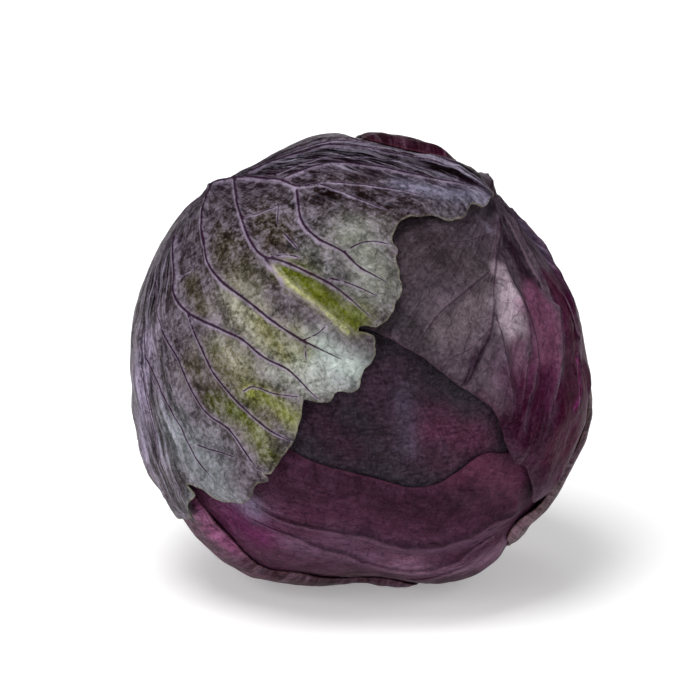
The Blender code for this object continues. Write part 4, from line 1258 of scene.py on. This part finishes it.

# Colours: what a leaf has all over, and strokes on it, some of them painted highlights and sheen as noted.
# Each stroke is a line on the head with its reach in mm, its colour and its strength, and some have a last
# number for edges crisper than the usual. Colours are 0 to 255 as a screen shows them.
SOFT_EDGE = 2
TONES = {
    "wrapper_leaf": (
        (94, 84, 90),
        (
            (front((-60, 40), (-30, 50)), 17.0, (62, 50, 54), 0.85),
            (front((-24, 52), (-6, 47)), 8.0, (92, 88, 88), 0.6),
            (front((-34, 51), (-29, 44)), 5.5, (84, 74, 54), 0.75),
            (front((-50, 44), (-44, 34)), 5.0, (80, 70, 54), 0.65),
            (front((-60, 28), (-57, 19)), 4.0, (92, 84, 64), 0.75),
            (front((-12, 58), (2, 56), (14, 53)), 8.0, (44, 32, 32), 0.9),
            (front((-50, 63), (-30, 70), (0, 72), (24, 66), (40, 62)), 10.0, (34, 13, 28), 0.95),
            # Bluish stroke along the top right: painted sheen
            (front((14, 61), (30, 57), (41, 56)), 6.0, (116, 112, 134), 0.85),
            # Pale green-grey panel: the leaf's own paler colour, brightened with painted sheen
            (front((-2, 42), (4, 28)), 9.0, (162, 166, 152), 0.85),
            (front((-20, 38), (-6, 25)), 6.0, (116, 118, 112), 0.6),
            (front((-27.5, 32.5), (-18, 26), (-9, 18.2), (-2.5, 13)), 4.2, (104, 112, 34), 0.95),
            (front((-32.1, 33.2), (-24.9, 26), (-15.4, 19.2), (-5.4, 10)), 1.0, (206, 208, 132), 0.95),
            # Pale green-grey panel between the veins: the leaf's own paler colour, brightened with painted
            # sheen
            (front((-44, 24), (-34, 8), (-24, 2)), 9.0, (168, 168, 140), 0.85),
            (front((-50, 38), (-40, 32)), 7.0, (90, 84, 68), 0.6),
            # The pale tip, this stroke and the next: the leaf's own paler colour, brightened with painted
            # sheen
            (front((-30, -4), (-16, -8)), 6.0, (170, 174, 162), 0.8),
            (front((-14, 4), (-4, -3)), 8.0, (206, 218, 212), 0.95),
            (front((-50, 6), (-42, -2)), 7.0, (150, 148, 118), 0.75),
            (front((-24, 10), (-20, 4)), 3.2, (118, 118, 80), 0.7),
            (front((-52, 2), (-46, -6)), 3.0, (98, 94, 58), 0.6),
            (front((-52, -13), (-41, -19)), 3.8, (92, 100, 28), 0.9),
            (front((-39.5, -10), (-30, -14.5), (-24, -20)), 4.0, (134, 140, 60), 0.85),
            (front((-36, 14), (-27, 1.8)), 2.6, (112, 110, 56), 0.6),
            (front((-36, -24), (-32, -30)), 5.0, (108, 116, 44), 0.75),
            (front((-60, -2), (-52, -8)), 6.0, (92, 84, 62), 0.65),
            # Pale grey and lilac along the left and lower left edges, these three strokes: painted sheen from
            # the light at the left, over the leaf's paler tone
            (front((-66, -24), (-52, -38)), 10.0, (158, 166, 170), 0.75),
            (front((-56, -47), (-44, -46)), 6.0, (142, 146, 148), 0.75),
            (front((-76, 6), (-74, -30)), 7.0, (156, 142, 170), 0.85),
            (front((-74, 24), (-64, 46)), 7.0, (48, 34, 42), 0.8),
            (back((-40, 50), (-66, 10)), 30.0, (100, 92, 104), 0.7),
            (round_stalk(20.0, 143) + back((-40, 46)), 7.0, (176, 166, 172), 0.8),
        ),
    ),
    "upper_right_leaf": (
        (92, 78, 88),
        (
            (front((16, 40), (38, 36)), 14.0, (74, 64, 68), 0.8),
            (front((28, 18), (42, 2)), 10.0, (122, 108, 118), 0.75),
            (front((8, 20), (20, 10)), 8.0, (66, 60, 64), 0.75),
            (front((48, 47), (54.5, 36), (60, 26)), 3.6, (50, 34, 46), 0.9, 4),
            (front((39, 34), (43, 25)), 5.0, (120, 108, 114), 0.6),
            (front((42, 50.5), (44.5, 46.5)), 2.6, (140, 130, 152), 0.85, 5),
            # Pale pink panels, this stroke and the next: painted highlights from the light at the right
            (front((48.6, 31), (50, 25)), 4.0, (186, 166, 180), 0.85, 4),
            (front((51, 22), (52, 14)), 7.6, (190, 170, 184), 0.9, 6),
            (front((48.5, 2), (48.5, -8)), 4.0, (122, 104, 122), 0.7, 4),
            (front((55, 4), (55, -9)), 5.0, (134, 96, 118), 0.75, 4),
            (front((60.5, 20), (64.2, 12), (65, 2), (63, -6)), 9.0, (130, 80, 108), 0.95, 6),
            (front((61.5, -10), (58.5, -22)), 7.5, (84, 34, 64), 0.85, 4),
            (front((44, 52), (38, 44)), 6.0, (96, 84, 96), 0.6),
            (front((58, 50), (68, 36)), 7.0, (98, 82, 106), 0.75),
            (front((64, 38), (70, 30)), 4.0, (112, 106, 130), 0.7),
            (front((51, -17), (70, -38)), 14.0, (66, 28, 50), 0.92),
            (front((72, 28), (77.5, 13), (78.2, 0), (77, -14), (72, -29)), 10.0, (76, 14, 50), 0.9),
            (front((68, 27), (73.5, 14), (74.5, 1), (73, -13), (68, -29)), 7.5, (74, 14, 50), 0.95, 6),
            (front((75.6, 0.5), (75, -12), (73.2, -16)), 1.1, (150, 44, 118), 0.8),
            (front((40, -2), (48, -14)), 5.0, (118, 106, 116), 0.6),
            (front((27, 12), (36, 14), (40, 22)), 5.0, (130, 116, 120), 0.6),
            (front((43.5, 8.5), (38.8, -0.3), (36, -7.3)), 1.1, (30, 18, 28), 0.9),
            (back((30, 40), (60, 0)), 26.0, (88, 50, 74), 0.75),
            (back((70, 16), (70, -16)), 14.0, (80, 30, 60), 0.8),
            (round_stalk(20.0, 47) + back((20, 48)), 7.0, (164, 148, 160), 0.8),
        ),
    ),
    "lower_leaf": (
        (86, 55, 73),
        (
            (front((-20, -38), (20, -50), (50, -40)), 9.0, (66, 44, 57), 0.8),
            (front((-46, -54), (-36, -60)), 8.0, (106, 46, 86), 0.85),
            # Lilac patch: painted highlight
            (front((-46, -47), (-38, -51)), 5.0, (146, 134, 162), 0.8),
            # Lighter lilac bands below the creases, this stroke and the next two: painted sheen over the wine
            # colour
            (front((-10, -60), (20, -66), (44, -60)), 5.0, (103, 75, 96), 0.75),
            (front((-24, -64), (2, -69.5)), 6.0, (128, 94, 120), 0.85),
            (front((14, -72), (50, -66)), 7.0, (152, 114, 140), 0.8),
            (front((38, -36), (54, -42)), 7.0, (122, 71, 94), 0.75),
            (front((-20, -75), (26, -78)), 4.0, (92, 70, 78), 0.7),
            (front((60, -36), (72, -20)), 8.0, (78, 40, 66), 0.6),
            (round_stalk(20.0, -82) + back((4, -26)), 7.0, (160, 142, 154), 0.8),
        ),
    ),
    "lower_left_leaf": (
        (98, 66, 82),
        (
            (front((-66, -40), (-46, -64)), 7.0, (156, 88, 130), 0.8),
            (front((-34, -74), (0, -77)), 7.0, (84, 60, 66), 0.8),
            (back((-40, -30), (-30, -60)), 26.0, (92, 70, 88), 0.6),
            (round_stalk(20.0, -132) + back((-36, -12)), 8.0, (168, 150, 160), 0.8),
        ),
    ),
    "right_back_leaf": (
        (98, 78, 84),
        (
            (front((78, -24), (71, -37)), 5.0, (76, 48, 62), 0.85),
            (front((64, -46), (50, -63)), 5.0, (128, 96, 108), 0.85),
            (back((40, 20), (60, -20)), 24.0, (92, 72, 90), 0.6),
            (round_stalk(20.0, -16) + back((32, 8)), 8.0, (172, 156, 162), 0.8),
        ),
    ),
    "top_back_leaf": (
        (64, 32, 46),
        (
            (back((20, 72), (32, 67)), 9.0, (80, 70, 66), 0.7),
            (back((0, 54), (10, 60)), 16.0, (92, 56, 78), 0.8),
            (round_stalk(20.0, 92) + back((-8, 46)), 7.0, (166, 148, 158), 0.8),
        ),
    ),
    "inner_head": (
        (66, 60, 67),
        (
            (front((6, -10), (20, -24)), 12.0, (75, 54, 69), 0.8),
            (front((26, -24), (42, -28)), 9.0, (102, 60, 82), 0.85),
            (front((14, -12), (16, -30)), 4.5, (98, 90, 108), 0.6),
            (front((-16, -20), (-4, -32)), 7.0, (72, 48, 63), 0.7),
        ),
    ),
}
# Light that the leaves' gloss adds to their colours, and how much of them the lamps leave to be painted
SHEEN = 0.008
LIT = 0.8

# How streaky a leaf is all over, and lines on it with their reach in mm and how streaky it is there.
# Streaky places get streaks of bloom, and long pale lines of bloom and painted sheen with painted shade
# between
STREAKS = {
    "wrapper_leaf": (
        0.15,
        (
            (front((-44, 69), (-4, 71), (34, 66)), 13.0, 1.3),
            (front((-72, 30), (-76, 0), (-66, -38)), 12.0, 1.1),
            (back((-40, 50), (-66, 10)), 30.0, 0.9),
            (front((-12, 58), (6, 55)), 7.0, 0.2),
        ),
    ),
    "upper_right_leaf": (0.08, ((front((50, 52), (68, 34)), 9.0, 0.7),)),
    "lower_leaf": (0.05, ((front((-46, -50), (-30, -58)), 8.0, 0.3),)),
    "lower_left_leaf": (0.35, ()),
    "right_back_leaf": (0.45, ()),
    "top_back_leaf": (0.45, ()),
    "inner_head": (0.06, ()),
}

# The same for how dark its veins are
VEINED = {
    "wrapper_leaf": (1.0, ((front((-31.4, 32.4), (-24.9, 26), (-15.4, 19.2), (-4, 8.6)), 2.2, 0.0),)),
}

# The same for how speckled it is
SPECKLES = {
    "wrapper_leaf": (
        0.75,
        (
            (front((-14, 6), (-2, -2)), 9.0, 0.25),
            (front((-4, 40), (4, 28)), 9.0, 0.35),
            (front((-18, 24), (0, 12)), 6.0, 0.3),
            (front((-60, -30), (-46, -40)), 9.0, 0.4),
            (front((-40, 72), (-4, 70), (34, 66)), 10.0, 0.3),
            (front((-40, 48), (-26, 50)), 12.0, 1.2),
        ),
    ),
}


def painted(base, strokes, d):
    """An amount at each direction, changed by strokes that are each a line, its reach and its amount."""
    amount = np.full(len(d), base)
    for points, reach, there in strokes:
        away, _ = distance_to(smooth_line(points, PAINT_STEP), d)
        amount += np.exp(-((away / reach) ** SOFT_EDGE)) * (there - amount)
    return amount


def tone(name, d):
    """The painted colour of a leaf at each direction, as light."""
    base, strokes = TONES[name]
    colour = np.tile(np.array(base, float), (len(d), 1))
    uneven = 1.0 + roughness(HEAD_RADIUS * d, STROKE_EDGE)
    for points, reach, paint, strength, *crisp in strokes:
        away, _ = distance_to(smooth_line(points, PAINT_STEP), d)
        edge = crisp[0] if crisp else SOFT_EDGE
        share = strength * np.exp(-((uneven * away / reach) ** edge))[:, None]
        colour += share * (np.array(paint) - colour)
    light = srgb_to_light(colour)
    return LIT * np.maximum(light - SHEEN, 0.2 * light)


def srgb_to_light(colour):
    """Turns a colour of 0 to 255 as a screen shows it into amounts of light from 0 to 1."""
    return (np.asarray(colour, float) / 255.0) ** 2.2


def main():
    # From the innermost leaf to the outermost
    makers = lower_leaf, upper_right_leaf, lower_left_leaf, wrapper_leaf, right_back_leaf, top_back_leaf
    leaves = [make() for make in makers]
    folds = [
        Vein(front((0.3, -4.9), (8, -3.4), (20.8, -6.3), (36, -18)), (3.6, 2.6), (1.5, 0.8)),
        Vein(front((6, -14), (13.3, -8.4), (24.3, -20.8), (30, -32)), (3.4, 2.6), (1.3, 0.8)),
        Vein(front((-14, -26), (4, -24), (25.5, -18.9), (40.6, -17.5)), (3.4, 2.6), (1.3, 0.8)),
    ]
    build_heart(leaves, folds)
    build_stalk()
    for leaf in leaves:
        build_leaf(leaf, leaves)
    build_floor()
    add_camera()
    add_lights()
    bpy.context.scene.view_settings.view_transform = "Standard"


main()
